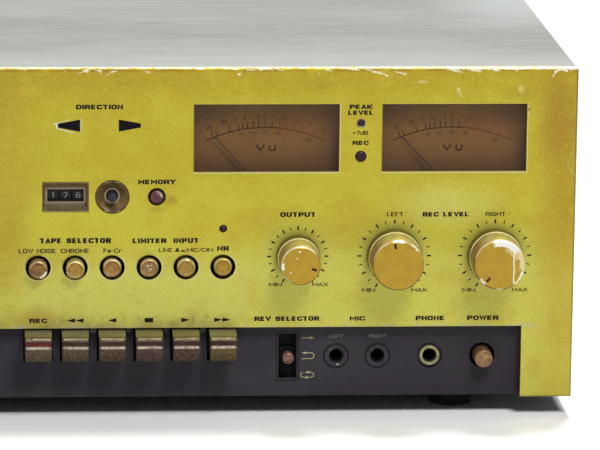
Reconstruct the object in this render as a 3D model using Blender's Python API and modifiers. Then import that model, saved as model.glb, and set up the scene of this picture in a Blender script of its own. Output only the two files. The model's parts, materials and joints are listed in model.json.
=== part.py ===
# A front-loading cassette deck with a gold front panel over a dark lower band.
# Metres, +Z up. The front faces -Y. The origin is at the middle of the deck's footprint, on the surface
# that the feet stand on. Places below are given in the panel's frame: x from the middle to the right,
# y behind the gold panel's face, z above the gold panel's bottom edge. at() turns them into world points.
import math

import bmesh
import bpy
from mathutils import Matrix, Vector

# Driving dimensions
WIDTH = 0.440
PANEL_HEIGHT = 0.165
BODY_DEPTH = 0.285
FOOT_HEIGHT = 0.010
KNOB_REACH = 0.0225
SOCKET_REACH = 0.008
GAP = 0.0003
OVERRUN = 0.002
MERGE_DISTANCE = 0.00001
SHARP_ANGLE = math.radians(30)

# Front panel
PANEL_THICKNESS = 0.003
PANEL_CHAMFER = 0.0009
BAND_HEIGHT = 0.0361
CHEEK_WIDTH = 0.02535

# Casing sheets
COVER_INSET = 0.0006
COVER_SHEET = 0.0012
COVER_DROP = 0.0008
BASE_SHEET = 0.0014
BASE_LIFT = 0.0006
BASE_LIP = 0.010
REAR_SHEET = 0.0016

# Feet
FOOT_RADIUS = 0.0117
FOOT_TAPER = 0.0012
FOOT_SIDE_MARGIN = 0.0565
FOOT_FRONT_Y = 0.033
FOOT_REAR_MARGIN = 0.030
FOOT_RECESS_RADIUS = 0.0055
FOOT_RECESS_DEPTH = 0.004

# Meters
METER_GAP = 0.0209
METER_MIDDLE_SHARE = 0.518864
METER_SPACING_SHARE = 0.416364
METER_LOW_SHARE = 0.687576
METER_HIGH_SHARE = 0.891212
WINDOW_RECESS = 0.0006
WINDOW_FLANGE = 0.0020
WINDOW_BORDER = 0.0034
HOUSING_DEPTH = 0.030
METER_CAVITY_DEPTH = 0.0064
METER_CAVITY_DROP = 0.0168
METER_CAVITY_SIDE = 0.0012
HOUSING_WALL = 0.0026
NEEDLE_LENGTH = 0.0362
NEEDLE_WIDTH = 0.0008
NEEDLE_THICKNESS = 0.0006
NEEDLE_TAIL = 0.0055
NEEDLE_HUB_RADIUS = 0.0024
NEEDLE_PIVOT_DROP = 0.0110
NEEDLE_REST_ANGLE = 43.0

# Level lamps between the meters
LAMP_ROOM_WIDTH = 0.0164
LAMP_ROOM_HEIGHT = 0.0300
LAMP_ROOM_DEPTH = 0.0060
LAMP_BOARD_WIDTH = 0.0130
LAMP_BOARD_HEIGHT = 0.0270
LAMP_BOARD_THICKNESS = 0.0016
PEAK_LAMP_SHARE = 0.834242
PEAK_LAMP_RADIUS = 0.0017
RECORD_LAMP_SHARE = 0.734424
RECORD_LAMP_RADIUS = 0.0023
LAMP_PROUD = 0.0006

# Direction lamps
ARROW_LENGTH = 0.0107
ARROW_WIDE = 0.0060
ARROW_NARROW = 0.0020
ARROW_MIDDLE_SHARE = -0.058409
ARROW_HALF_SPAN = 0.0147
ARROW_RISE_SHARE = 0.828485
ARROW_RECESS = 0.0003
ARROW_BODY_DEPTH = 0.0080
ARROW_FLANGE = 0.0012
ARROW_FLANGE_THICKNESS = 0.0015

# Tape counter, its reset button and the memory switch
COUNTER_TO_RESET = 0.02263
COUNTER_RISE_SHARE = 0.61503
COUNTER_WIDTH = 0.0226
COUNTER_HEIGHT = 0.0150
COUNTER_WALL = 0.0004
FUNNEL_DEPTH = 0.0042
FUNNEL_END_WIDTH = 0.0195
FUNNEL_END_HEIGHT = 0.0077
COUNTER_SIGHT_WIDTH = 0.0177
COUNTER_SIGHT_HEIGHT = 0.0061
COUNTER_FRAME = 0.0008
DRUM_RADIUS = 0.0065
DRUM_WIDTH = 0.0056
DRUM_PITCH = 0.00617
DRUM_AXLE_RADIUS = 0.0011
COUNTER_BODY_WALL = 0.0016
ESCUTCHEON_SHEET = 0.0016
RESET_SHARE = -0.03
RESET_RADIUS = 0.0084
DISH_DEPTH = 0.0032
DISH_FLOOR_RADIUS = 0.00385
RESET_HOLE_RADIUS = 0.00303
RESET_BUTTON_RADIUS = 0.0023
RESET_REACH = 0.0031
SLEEVE_LENGTH = 0.0100
SLEEVE_WALL = 0.0014
RESET_TO_MEMORY = 0.02162
MEMORY_HOLE_RADIUS = 0.0044
MEMORY_BUTTON_RADIUS = 0.0033
MEMORY_REACH = 0.0012

# Six push buttons
COLUMN_PITCH_SHARE = 0.081818
COLUMN_START_SHARE = -0.193636
BUTTON_RISE_SHARE = 0.402121
BUTTON_HOLE_RADIUS = 0.0062
BUTTON_RADIUS = 0.00455
BUTTON_CHAMFER = 0.0007
BUTTON_RING_RADIUS = 0.0031
BUTTON_RING_DEPTH = 0.0004
BUTTON_LENGTH = 0.0120
BUTTON_OUT_REACH = 0.0058
BUTTON_IN_REACH = 0.0019
BUTTON_DEEP_REACH = 0.0006
STEM_RADIUS = 0.0026
STEM_LENGTH = 0.0240
BANK_FRONT_Y = 0.0050
BANK_SHEET = 0.0012
BANK_BODY_Y = 0.0140
BANK_BODY_DEPTH = 0.0260
BANK_BODY_HALF_HEIGHT = 0.0075
BANK_END_MARGIN = 0.0095
BANK_TOP_ROOM = 0.0005
NOISE_LAMP_SHARE = 0.518303
NOISE_LAMP_HOLE_RADIUS = 0.0020
NOISE_LAMP_RADIUS = 0.0015

# Rotary knobs
KNOB_RISE_SHARE = 0.433939
OUTPUT_SHARE = 0.381818
RECORD_LEFT_SHARE = 0.596591
RECORD_RIGHT_SHARE = 0.821136
OUTPUT_FACE_RADIUS = 0.0096
RECORD_FACE_RADIUS = 0.0124
KNOB_FLANGE_STEP = 0.0008
KNOB_FLANGE_THICKNESS = 0.0026
KNOB_GROOVE_DEPTH = 0.0006
KNOB_GROOVE_WIDTH = 0.0008
KNOB_FLARE = 0.0003
KNOB_CHAMFER = 0.0009
KNOB_LIFT = 0.0005
POINTER_WIDTH = 0.0013
POINTER_LENGTH = 0.0030
POINTER_DEPTH = 0.0005
SHAFT_RADIUS = 0.0030
SHAFT_HOLE_RADIUS = 0.0034
SHAFT_END_Y = 0.0200
POT_RADIUS = 0.0115
POT_DEPTH = 0.0180
POT_NECK_RADIUS = 0.0048
POT_BRACKET_Y = 0.0070
POT_BRACKET_SHEET = 0.0015
POT_BRACKET_MARGIN = 0.0150
POT_BRACKET_HALF_HEIGHT = 0.0125
POINTER_OUTPUT_ANGLE = 108.0
POINTER_LEFT_ANGLE = -6.0
POINTER_RIGHT_ANGLE = -141.0

# Lower panel
BAND_RECESS = 0.0060
BAND_SHEET = 0.0020
BAND_OVERLAP = 0.0024
BAND_FLANGE_SHEET = 0.0014
KEY_SLOT_SIDE = 0.0007
KEY_SLOT_LOW_Z = 0.0180
CONTROL_Z = 0.0200

# Piano keys, in side view: reach is how far they stand in front of the gold face
KEY_WIDTH = 0.0132
KEY_TOP_Z = 0.0350
KEY_RIDGE_REACH = 0.0110
KEY_RIDGE_Z = 0.0335
KEY_RIDGE_DROP = 0.0014
KEY_RIDGE_SHARES = ((0.0, 0.0), (0.7, 0.3), (1.0, 1.0))
KEY_GROOVE_DEPTH = 0.0007
KEY_GROOVE_HEIGHT = 0.0022
KEY_LIP_REACH = 0.0137
KEY_LIP_HEIGHT = 0.0013
KEY_FRONT_REACH = 0.0128
KEY_BOTTOM_Z = 0.0226
KEY_BODY_BACK_Y = 0.0160
KEY_ARM_LOW_Z = 0.0280
KEY_ARM_HIGH_Z = 0.0330
KEY_HUB_RADIUS = 0.0050
KEY_PIVOT_Y = 0.0550
KEY_PIVOT_Z = 0.0305
KEY_SHAFT_RADIUS = 0.0020
LUG_THICKNESS = 0.0030
LUG_CLEARANCE = 0.0040
LUG_HALF_DEPTH = 0.0060
LUG_HEAD = 0.0050
KEY_BACK_CHAMFER = 0.0010

# Reverse selector
SELECTOR_SHARE = 0.362955
SELECTOR_SLOT_WIDTH = 0.0092
SELECTOR_SLOT_HEIGHT = 0.0226
SELECTOR_FRAME = 0.0010
SELECTOR_FRAME_DEPTH = 0.0006
LEVER_RADIUS = 0.00265
LEVER_REACH = 0.0055
LEVER_CHAMFER = 0.0005
LEVER_LENGTH = 0.0130
LEVER_PLATE_WIDTH = 0.0070
LEVER_PLATE_HEIGHT = 0.0070
LEVER_PLATE_THICKNESS = 0.0030
LEVER_TRAVEL = 0.0080
SELECTOR_BODY_Y = 0.0110
SELECTOR_BODY_DEPTH = 0.0140
SELECTOR_BODY_WIDTH = 0.0120
SELECTOR_BODY_TOP_Z = 0.0340

# Sockets and the power button
MIC_LEFT_SHARE = 0.471818
MIC_RIGHT_SHARE = 0.564545
PHONE_SHARE = 0.681818
POWER_SHARE = 0.8
SOCKET_HOLE_RADIUS = 0.00635
MIC_NUT_RADIUS = 0.0060
MIC_NUT_PROUD = 0.0003
PHONE_NUT_RADIUS = 0.0048
PHONE_NUT_PROUD = 0.0004
SOCKET_BORE_RADIUS = 0.0033
SOCKET_MOUTH_RADIUS = 0.0043
SOCKET_MOUTH_DEPTH = 0.0012
SOCKET_BODY_SIZE = 0.0150
SOCKET_BODY_DEPTH = 0.0280
POWER_RADIUS = 0.0045
POWER_REACH = 0.0088
POWER_LENGTH = 0.0150
POWER_STEM_RADIUS = 0.0025
POWER_STEM_END_Y = 0.0300
POWER_TRAVEL = 0.0045
POWER_BODY_Y = 0.0185
POWER_BODY_DEPTH = 0.0280
POWER_BODY_WIDTH = 0.0150
POWER_BODY_TOP_Z = 0.0310
JACK_BOARD_Z = 0.0060
BOARD_SHEET = 0.0016
JACK_BOARD_MARGIN = 0.0120
JACK_BOARD_DEPTH = 0.0420
STANDOFF_RADIUS = 0.0030
STANDOFF_INSET = 0.0050

# Cassette compartment
DOOR_LOW_SHARE = 0.327273
DOOR_HIGH_SHARE = 0.909091
DOOR_SIDE_GAP = 0.0007
DOOR_SIDE_ROOM = 0.0076
DOOR_FOOT_GAP = 0.0025
DOOR_THICKNESS = 0.0040
DOOR_FRAME_SIDE = 0.0130
DOOR_FRAME_TOP = 0.0160
DOOR_FRAME_FOOT = 0.0180
GLASS_REBATE = 0.0022
GLASS_THICKNESS = 0.0016
DOOR_PIVOT_Y = 0.0065
DOOR_PIVOT_RISE = 0.0060
DOOR_PIN_RADIUS = 0.0020
DOOR_PIN_LENGTH = 0.0032
DOOR_EAR_THICKNESS = 0.0040
DOOR_EAR_RADIUS = 0.0035
WELL_WALL = 0.0035
WELL_SIDE_ROOM = 0.0006
WELL_FRONT_ROOM = 0.0005
WELL_DEPTH = 0.0127
WELL_FLOOR = 0.0023
WELL_BOSS_DEPTH = 0.0040
WELL_BOSS_WALL = 0.0022

# Cassette and transport
CASSETTE_WIDTH = 0.1004
CASSETTE_HEIGHT = 0.0638
HUB_SPACING = 0.0425
HUB_RISE = 0.0345
CASSETTE_SEAT_RISE = 0.0100
HOLDER_SIDE_ROOM = 0.0016
HOLDER_WALL = 0.0026
HOLDER_DEPTH = 0.0100
HOLDER_LEDGE = 0.0100
HOLDER_LEDGE_THICKNESS = 0.0020
HOLDER_TOP_MARGIN = 0.0020
SPINDLE_SHAFT_RADIUS = 0.0028
SPINDLE_TIP_RADIUS = 0.0016
SPINDLE_FRONT_Y = 0.0068
SPINDLE_TIP_LENGTH = 0.0015
SPINDLE_FIN_RADIUS = 0.0043
SPINDLE_FIN_WIDTH = 0.0014
SPINDLE_FIN_SETBACK = 0.0016
REEL_DISC_RADIUS = 0.0140
REEL_DISC_THICKNESS = 0.0045
CAPSTAN_SPACING = 0.0500
CAPSTAN_RISE = 0.0115
CAPSTAN_RADIUS = 0.00125
CAPSTAN_FRONT_Y = 0.0072
FLYWHEEL_RADIUS = 0.0240
FLYWHEEL_THICKNESS = 0.0080
FLYWHEEL_CLEARANCE = 0.0045
HEAD_TRAVEL = 0.0050
HEAD_BASE_HALF_WIDTH = 0.0360
HEAD_BASE_LOW_RISE = 0.0002
HEAD_BASE_HEIGHT = 0.0075
HEAD_BASE_THICKNESS = 0.0023
HEAD_HALF_WIDTH = 0.0070
HEAD_HEIGHT = 0.0093
HEAD_FRONT_Y = 0.0072
ROLLER_RADIUS = 0.0052
ROLLER_GAP = 0.0004
BELT_THICKNESS = 0.0010
BELT_WIDTH = 0.0040
PULLEY_RADIUS = 0.0040
PULLEY_THICKNESS = 0.0060
MOTOR_RISE_SHARE = 0.775758
MOTOR_RADIUS = 0.0170
MOTOR_LENGTH = 0.0320
MOTOR_SHAFT_RADIUS = 0.0015
MOTOR_BORE_DEPTH = 0.0060
MOTOR_PLATE_HALF_WIDTH = 0.0230
MOTOR_PLATE_LOW = 0.0140
MOTOR_PLATE_HIGH = 0.0220
MOTOR_PLATE_SHEET = 0.0015
MOTOR_POST_WIDTH = 0.0040
MOTOR_POST_HEIGHT = 0.0080

# Inside: mains transformer and main board
TRANSFORMER_SHARE = 0.704545
TRANSFORMER_BACK_MARGIN = 0.0600
TRANSFORMER_WIDTH = 0.0640
TRANSFORMER_DEPTH = 0.0300
TRANSFORMER_HEIGHT = 0.0520
COIL_WIDTH = 0.0400
COIL_DEPTH = 0.0480
COIL_MARGIN = 0.0080
TRANSFORMER_FOOT = 0.0100
TRANSFORMER_FOOT_SHEET = 0.0020
BOARD_LEFT_SHARE = -0.590909
BOARD_RIGHT_SHARE = 0.454545
BOARD_FRONT_Y = 0.1000
BOARD_BACK_MARGIN = 0.0250
BOARD_Z = 0.0100
CAPACITOR_RADIUS = 0.0090
CAPACITOR_HEIGHT = 0.0300
CAPACITOR_PITCH = 0.0260
CAPACITOR_COUNT = 4
HEATSINK_WIDTH = 0.0600
HEATSINK_DEPTH = 0.0120
HEATSINK_HEIGHT = 0.0350

# Rear panel fittings
SOCKET_RADIUS = 0.0042
SOCKET_PITCH = 0.0180
SOCKET_ROW_Z = 0.0600
SOCKET_ROWS = 2
SOCKET_COLUMNS = 2
SOCKET_START_SHARE = -0.681818
DIN_SHARE = -0.409091
DIN_RADIUS = 0.0080
DIN_DEPTH = 0.0060
DIN_PLUG_RADIUS = 0.0062
INLET_SHARE = 0.75
INLET_WIDTH = 0.0200
INLET_HEIGHT = 0.0110
INLET_DEPTH = 0.0120
INLET_WALL = 0.0020
INLET_PIN_RADIUS = 0.0012
INLET_PIN_SPACING = 0.0086
INLET_PIN_LENGTH = 0.0090

# Vents under the deck
VENT_COUNT = 9
VENT_PITCH = 0.0120
VENT_WIDTH = 0.0036
VENT_LENGTH = 0.0600
VENT_SHARE = -0.136364
VENT_BACK_MARGIN = 0.0950

# Rounding of circles, in sides
ROUND_SIDES = 20
SMALL_SIDES = 12
FINE_SIDES = 32

# Places worked out from the sizes above
BACK_REACH = BODY_DEPTH + SOCKET_REACH
PANEL_Y = -(BACK_REACH - KNOB_REACH) / 2
HALF_WIDTH = WIDTH / 2
FOOT_X = HALF_WIDTH - FOOT_SIDE_MARGIN
METER_MIDDLE_X = METER_MIDDLE_SHARE * HALF_WIDTH
METER_SPACING = METER_SPACING_SHARE * HALF_WIDTH
METER_WIDTH = METER_SPACING - METER_GAP
ARROW_MIDDLE_X = ARROW_MIDDLE_SHARE * HALF_WIDTH
RESET_X = RESET_SHARE * HALF_WIDTH
COUNTER_X = RESET_X - COUNTER_TO_RESET
MEMORY_X = RESET_X + RESET_TO_MEMORY
COLUMN_PITCH = COLUMN_PITCH_SHARE * HALF_WIDTH
COLUMN_START_X = COLUMN_START_SHARE * HALF_WIDTH
OUTPUT_X = OUTPUT_SHARE * HALF_WIDTH
RECORD_LEFT_X = RECORD_LEFT_SHARE * HALF_WIDTH
RECORD_RIGHT_X = RECORD_RIGHT_SHARE * HALF_WIDTH
SELECTOR_X = SELECTOR_SHARE * HALF_WIDTH
MIC_LEFT_X = MIC_LEFT_SHARE * HALF_WIDTH
MIC_RIGHT_X = MIC_RIGHT_SHARE * HALF_WIDTH
PHONE_X = PHONE_SHARE * HALF_WIDTH
POWER_X = POWER_SHARE * HALF_WIDTH
TRANSFORMER_X = TRANSFORMER_SHARE * HALF_WIDTH
TRANSFORMER_Y = BODY_DEPTH - TRANSFORMER_BACK_MARGIN
BOARD_LEFT_X = BOARD_LEFT_SHARE * HALF_WIDTH
BOARD_RIGHT_X = BOARD_RIGHT_SHARE * HALF_WIDTH
BOARD_BACK_Y = BODY_DEPTH - BOARD_BACK_MARGIN
SOCKET_START_X = SOCKET_START_SHARE * HALF_WIDTH
DIN_X = DIN_SHARE * HALF_WIDTH
INLET_X = INLET_SHARE * HALF_WIDTH
VENT_X = VENT_SHARE * HALF_WIDTH
VENT_Y = BODY_DEPTH - VENT_BACK_MARGIN
COVER_HALF_WIDTH = HALF_WIDTH - COVER_INSET
COVER_TOP_Z = PANEL_HEIGHT - COVER_DROP
COVER_FRONT_Y = PANEL_THICKNESS + GAP
INNER_HALF_WIDTH = COVER_HALF_WIDTH - COVER_SHEET
BANK_LEFT_X = COLUMN_START_X - BANK_END_MARGIN
DOOR_X = (BANK_LEFT_X - INNER_HALF_WIDTH) / 2
HOLDER_WIDTH = CASSETTE_WIDTH + 2 * (HOLDER_SIDE_ROOM + HOLDER_WALL)
DOOR_OPENING_WIDTH = HOLDER_WIDTH + 2 * DOOR_SIDE_ROOM
INNER_TOP_Z = COVER_TOP_Z - COVER_SHEET
BASE_TOP_Z = BASE_LIFT + BASE_SHEET
BAND_BACK_Y = BAND_RECESS + BAND_SHEET
BAND_HALF_WIDTH = HALF_WIDTH - CHEEK_WIDTH
BEHIND_PANEL_Y = PANEL_THICKNESS + GAP
WINDOW_BACK_Y = BEHIND_PANEL_Y + WINDOW_FLANGE
HOUSING_FRONT_Y = WINDOW_BACK_Y + GAP
METER_FLOOR_Y = HOUSING_FRONT_Y + METER_CAVITY_DEPTH
METER_LOW_Z = METER_LOW_SHARE * PANEL_HEIGHT
METER_HIGH_Z = METER_HIGH_SHARE * PANEL_HEIGHT
METER_HEIGHT = METER_HIGH_Z - METER_LOW_Z
METER_MIDDLE_Z = (METER_LOW_Z + METER_HIGH_Z) / 2
PEAK_LAMP_Z = PEAK_LAMP_SHARE * PANEL_HEIGHT
RECORD_LAMP_Z = RECORD_LAMP_SHARE * PANEL_HEIGHT
ARROW_Z = ARROW_RISE_SHARE * PANEL_HEIGHT
COUNTER_Z = COUNTER_RISE_SHARE * PANEL_HEIGHT
BUTTON_Z = BUTTON_RISE_SHARE * PANEL_HEIGHT
BANK_TOP_Z = COUNTER_Z - RESET_RADIUS - COUNTER_BODY_WALL - BANK_TOP_ROOM
NOISE_LAMP_Z = NOISE_LAMP_SHARE * PANEL_HEIGHT
KNOB_Z = KNOB_RISE_SHARE * PANEL_HEIGHT
DOOR_LOW_Z = DOOR_LOW_SHARE * PANEL_HEIGHT
DOOR_HIGH_Z = DOOR_HIGH_SHARE * PANEL_HEIGHT
MOTOR_Z = MOTOR_RISE_SHARE * PANEL_HEIGHT
METER_LEFT_X = METER_MIDDLE_X - METER_SPACING / 2
METER_RIGHT_X = METER_MIDDLE_X + METER_SPACING / 2
NEEDLE_PIVOT_Z = METER_LOW_Z - NEEDLE_PIVOT_DROP
HOUSING_LOW_Z = METER_LOW_Z - METER_CAVITY_DROP - HOUSING_WALL
HOUSING_HIGH_Z = METER_HIGH_Z + WINDOW_BORDER
HOUSING_LEFT_X = METER_LEFT_X - METER_WIDTH / 2 - WINDOW_BORDER
HOUSING_RIGHT_X = METER_RIGHT_X + METER_WIDTH / 2 + WINDOW_BORDER
PIVOT_DOOR_Z = DOOR_LOW_Z + DOOR_PIVOT_RISE
WELL_FRONT_Y = BEHIND_PANEL_Y
WELL_FLOOR_Y = WELL_FRONT_Y + WELL_DEPTH
WELL_BACK_Y = WELL_FLOOR_Y + WELL_FLOOR
WELL_HALF_INNER = DOOR_OPENING_WIDTH / 2 + WELL_FRONT_ROOM
WELL_HALF_OUTER = WELL_HALF_INNER + WELL_WALL
WELL_INNER_LOW_Z = DOOR_LOW_Z - WELL_FRONT_ROOM
WELL_INNER_HIGH_Z = DOOR_HIGH_Z + WELL_FRONT_ROOM
CASSETTE_LOW_Z = DOOR_LOW_Z + CASSETTE_SEAT_RISE
HUB_Z = CASSETTE_LOW_Z + HUB_RISE
CAPSTAN_Z = CASSETTE_LOW_Z + CAPSTAN_RISE
BOSS_BACK_Y = WELL_BACK_Y + WELL_BOSS_DEPTH
REEL_DISC_BACK_Y = BOSS_BACK_Y + GAP + REEL_DISC_THICKNESS
FLYWHEEL_FRONT_Y = REEL_DISC_BACK_Y + FLYWHEEL_CLEARANCE
FLYWHEEL_BACK_Y = FLYWHEEL_FRONT_Y + FLYWHEEL_THICKNESS
BELT_Y = (FLYWHEEL_FRONT_Y + FLYWHEEL_BACK_Y) / 2
MOTOR_PLATE_Y = FLYWHEEL_BACK_Y + GAP
MOTOR_FRONT_Y = MOTOR_PLATE_Y + MOTOR_PLATE_SHEET + GAP
KEY_COLUMNS = {
    "eject_key": -3,
    "pause_key": -2,
    "record_key": 0,
    "rewind_key": 1,
    "reverse_play_key": 2,
    "stop_key": 3,
    "play_key": 4,
    "fast_forward_key": 5,
}
BUTTON_REACHES = {
    "low_noise_button": BUTTON_OUT_REACH,
    "chrome_button": BUTTON_OUT_REACH,
    "ferrichrome_button": BUTTON_IN_REACH,
    "limiter_button": BUTTON_IN_REACH,
    "input_button": BUTTON_IN_REACH,
    "noise_reduction_button": BUTTON_DEEP_REACH,
}
TURN_TO_AXIS = {
    "X": Matrix.Rotation(math.pi / 2, 4, "Y"),
    "Y": Matrix.Rotation(-math.pi / 2, 4, "X"),
    "Z": Matrix.Identity(4),
}
FACING_FRONT = Matrix.Rotation(math.pi / 2, 4, "X")
SIDE_VIEW = Matrix(((0, 0, 1, 0), (1, 0, 0, 0), (0, 1, 0, 0), (0, 0, 0, 1)))


def at(x, y, z):
    """The world's point for a place in the panel's frame."""
    return Vector((x, y + PANEL_Y, z + FOOT_HEIGHT))


def around(middle, half):
    """The low and high ends of a span about its middle."""
    return (middle - half, middle + half)


def column_x(column):
    """The middle of a column of push buttons and keys."""
    return COLUMN_START_X + column * COLUMN_PITCH


# Tools that make and join shapes
def evaluated_mesh(item):
    """A mesh of an object as its modifiers and curve settings leave it. The object is then removed."""
    bpy.context.view_layer.update()
    graph = bpy.context.evaluated_depsgraph_get()
    mesh = bpy.data.meshes.new_from_object(item.evaluated_get(graph))
    bpy.data.objects.remove(item, do_unlink=True)
    return mesh


def new_collection(name):
    collection = bpy.data.collections.new(name)
    bpy.context.scene.collection.children.link(collection)
    return collection


def clear_scene():
    for item in list(bpy.data.objects):
        bpy.data.objects.remove(item, do_unlink=True)


def make_material(name, colour, roughness, metallic, alpha=1.0):
    material = bpy.data.materials.new(name)
    material.use_nodes = True
    shader = material.node_tree.nodes["Principled BSDF"]
    shader.inputs["Base Color"].default_value = (*colour, 1.0)
    shader.inputs["Roughness"].default_value = roughness
    shader.inputs["Metallic"].default_value = metallic
    shader.inputs["Alpha"].default_value = alpha
    material.diffuse_color = (*colour, alpha)
    return material


def add_block(shape, x, y, z):
    """Adds a box to a bmesh. x, y and z are its low and high sides."""
    low = at(x[0], y[0], z[0])
    high = at(x[1], y[1], z[1])
    sides = high - low
    matrix = Matrix.Translation((low + high) / 2) @ Matrix.Diagonal((*sides, 1.0))
    return bmesh.ops.create_cube(shape, size=1.0, matrix=matrix)["verts"]


def add_rod(shape, axis, start, length, radius, end_radius=None, sides=ROUND_SIDES):
    """Adds a rod or a cone that runs from start, a world point, along +axis."""
    turn = TURN_TO_AXIS[axis]
    middle = start + turn @ Vector((0, 0, length / 2))
    bmesh.ops.create_cone(
        shape,
        cap_ends=True,
        segments=sides,
        radius1=radius,
        radius2=radius if end_radius is None else end_radius,
        depth=length,
        matrix=Matrix.Translation(middle) @ turn,
    )


def add_funnel(shape, middle_x, middle_z, y, front_size, back_size):
    """Adds a square-sided taper between two sections, each given as (width, height)."""
    corners = add_block(
        shape,
        around(middle_x, front_size[0] / 2),
        y,
        around(middle_z, front_size[1] / 2),
    )
    middle = at(middle_x, y[1], middle_z)
    for corner in corners:
        if corner.co.y > at(0, sum(y) / 2, 0).y:
            corner.co.x = middle.x + (corner.co.x - middle.x) * back_size[0] / front_size[0]
            corner.co.z = middle.z + (corner.co.z - middle.z) * back_size[1] / front_size[1]


class Kit:
    """Collects the deck's pieces and the hidden shapes that cut or extend them."""

    def __init__(self):
        self.parts = new_collection("cassette_deck")
        self.tools = new_collection("cutters")

    def piece(self, name, shape, material, origin=None):
        """Makes a named piece of a bmesh in world coordinates, with its origin at a world point."""
        origin = Vector() if origin is None else origin
        mesh = bpy.data.meshes.new(name)
        bmesh.ops.translate(shape, verts=shape.verts, vec=-origin)
        shape.to_mesh(mesh)
        shape.free()
        item = bpy.data.objects.new(name, mesh)
        item.location = origin
        mesh.materials.append(material)
        self.parts.objects.link(item)
        return item

    def tool(self, name, shape):
        mesh = bpy.data.meshes.new(name)
        shape.to_mesh(mesh)
        shape.free()
        item = bpy.data.objects.new(name, mesh)
        item.hide_render = True
        item.display_type = "WIRE"
        self.tools.objects.link(item)
        return item

    def change(self, target, shape, operation):
        """Cuts a bmesh from a piece, or joins it to the piece."""
        tool = self.tool(target.name + "_" + operation.lower(), shape)
        self.change_with(target, tool, operation)

    def change_with(self, target, tool, operation):
        modifier = target.modifiers.new(operation.title(), "BOOLEAN")
        modifier.operation = operation
        modifier.solver = "EXACT"
        modifier.use_self = True
        modifier.object = tool

    def turned(self, name, profile, middle, material, sides=ROUND_SIDES):
        """A turned piece. profile runs from the front down its outer side, as (radius, reach to the front)."""
        outline = bpy.data.meshes.new(name + "_outline")
        points = [(radius, 0, reach) for radius, reach in profile]
        outline.from_pydata(points, [(step, step + 1) for step in range(len(points) - 1)], [])
        drawn = bpy.data.objects.new(name + "_outline", outline)
        self.parts.objects.link(drawn)
        screw = drawn.modifiers.new("Turn", "SCREW")
        screw.steps = sides
        screw.render_steps = sides
        screw.use_merge_vertices = True
        screw.merge_threshold = MERGE_DISTANCE
        mesh = evaluated_mesh(drawn)
        mesh.name = name
        mesh.materials.append(material)
        item = bpy.data.objects.new(name, mesh)
        item.location = middle
        item.rotation_euler = (math.pi / 2, 0, 0)
        self.parts.objects.link(item)
        return item

    def extruded(self, name, loops, width, matrix, material):
        """A flat outline, drawn as loops of points, given a width and set in place by a matrix."""
        curve = bpy.data.curves.new(name, "CURVE")
        curve.dimensions = "2D"
        curve.fill_mode = "BOTH"
        curve.extrude = width / 2
        for loop in loops:
            spline = curve.splines.new("POLY")
            spline.points.add(len(loop) - 1)
            for point, (across, up) in zip(spline.points, loop):
                point.co = (across, up, 0, 1)
            spline.use_cyclic_u = True
        drawn = bpy.data.objects.new(name + "_outline", curve)
        self.parts.objects.link(drawn)
        drawn.matrix_world = matrix
        mesh = evaluated_mesh(drawn)
        shape = bmesh.new()
        shape.from_mesh(mesh)
        bmesh.ops.remove_doubles(shape, verts=shape.verts, dist=MERGE_DISTANCE)
        bmesh.ops.recalc_face_normals(shape, faces=shape.faces)
        shape.to_mesh(mesh)
        shape.free()
        mesh.name = name
        mesh.materials.clear()
        mesh.materials.append(material)
        item = bpy.data.objects.new(name, mesh)
        item.matrix_world = matrix
        self.parts.objects.link(item)
        return item

    def finish(self):
        """Applies the cuts and joins, then shades round sides smooth and keeps corners sharp."""
        bpy.context.view_layer.update()
        graph = bpy.context.evaluated_depsgraph_get()
        meshes = [bpy.data.meshes.new_from_object(item.evaluated_get(graph)) for item in self.parts.objects]
        for item, mesh in zip(self.parts.objects, meshes):
            mesh.name = item.name
            mesh.shade_smooth()
            mesh.set_sharp_from_angle(angle=SHARP_ANGLE)
            item.modifiers.clear()
            item.data = mesh


# Materials
def make_materials():
    return {
        "gold": make_material("gold", (0.62, 0.50, 0.13), 0.38, 0.75),
        "band": make_material("band", (0.05, 0.045, 0.055), 0.6, 0.2),
        "cover": make_material("cover", (0.40, 0.41, 0.38), 0.45, 0.6),
        "steel": make_material("steel", (0.50, 0.50, 0.50), 0.4, 0.9),
        "rubber": make_material("rubber", (0.03, 0.03, 0.03), 0.8, 0.0),
        "black_plastic": make_material("black_plastic", (0.03, 0.03, 0.035), 0.5, 0.0),
        "smoked": make_material("smoked", (0.16, 0.10, 0.03), 0.15, 0.0, 0.35),
        "brown_metal": make_material("brown_metal", (0.24, 0.16, 0.08), 0.4, 0.7),
        "key_metal": make_material("key_metal", (0.42, 0.38, 0.28), 0.35, 0.9),
        "knob_gold": make_material("knob_gold", (0.70, 0.48, 0.16), 0.3, 0.9),
        "copper": make_material("copper", (0.55, 0.32, 0.16), 0.35, 0.8),
        "brass": make_material("brass", (0.65, 0.55, 0.28), 0.3, 0.95),
        "needle": make_material("needle", (0.05, 0.03, 0.02), 0.5, 0.0),
        "lamp": make_material("lamp", (0.12, 0.02, 0.02), 0.2, 0.0),
        "arrow": make_material("arrow", (0.05, 0.035, 0.02), 0.25, 0.0),
        "board": make_material("board", (0.25, 0.17, 0.06), 0.6, 0.0),
        "clear": make_material("clear", (0.75, 0.78, 0.78), 0.08, 0.0, 0.3),
        "grey_plastic": make_material("grey_plastic", (0.10, 0.10, 0.10), 0.5, 0.0),
        "mauve": make_material("mauve", (0.20, 0.11, 0.11), 0.4, 0.2),
        "belt": make_material("belt", (0.02, 0.02, 0.02), 0.7, 0.0),
    }


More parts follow.
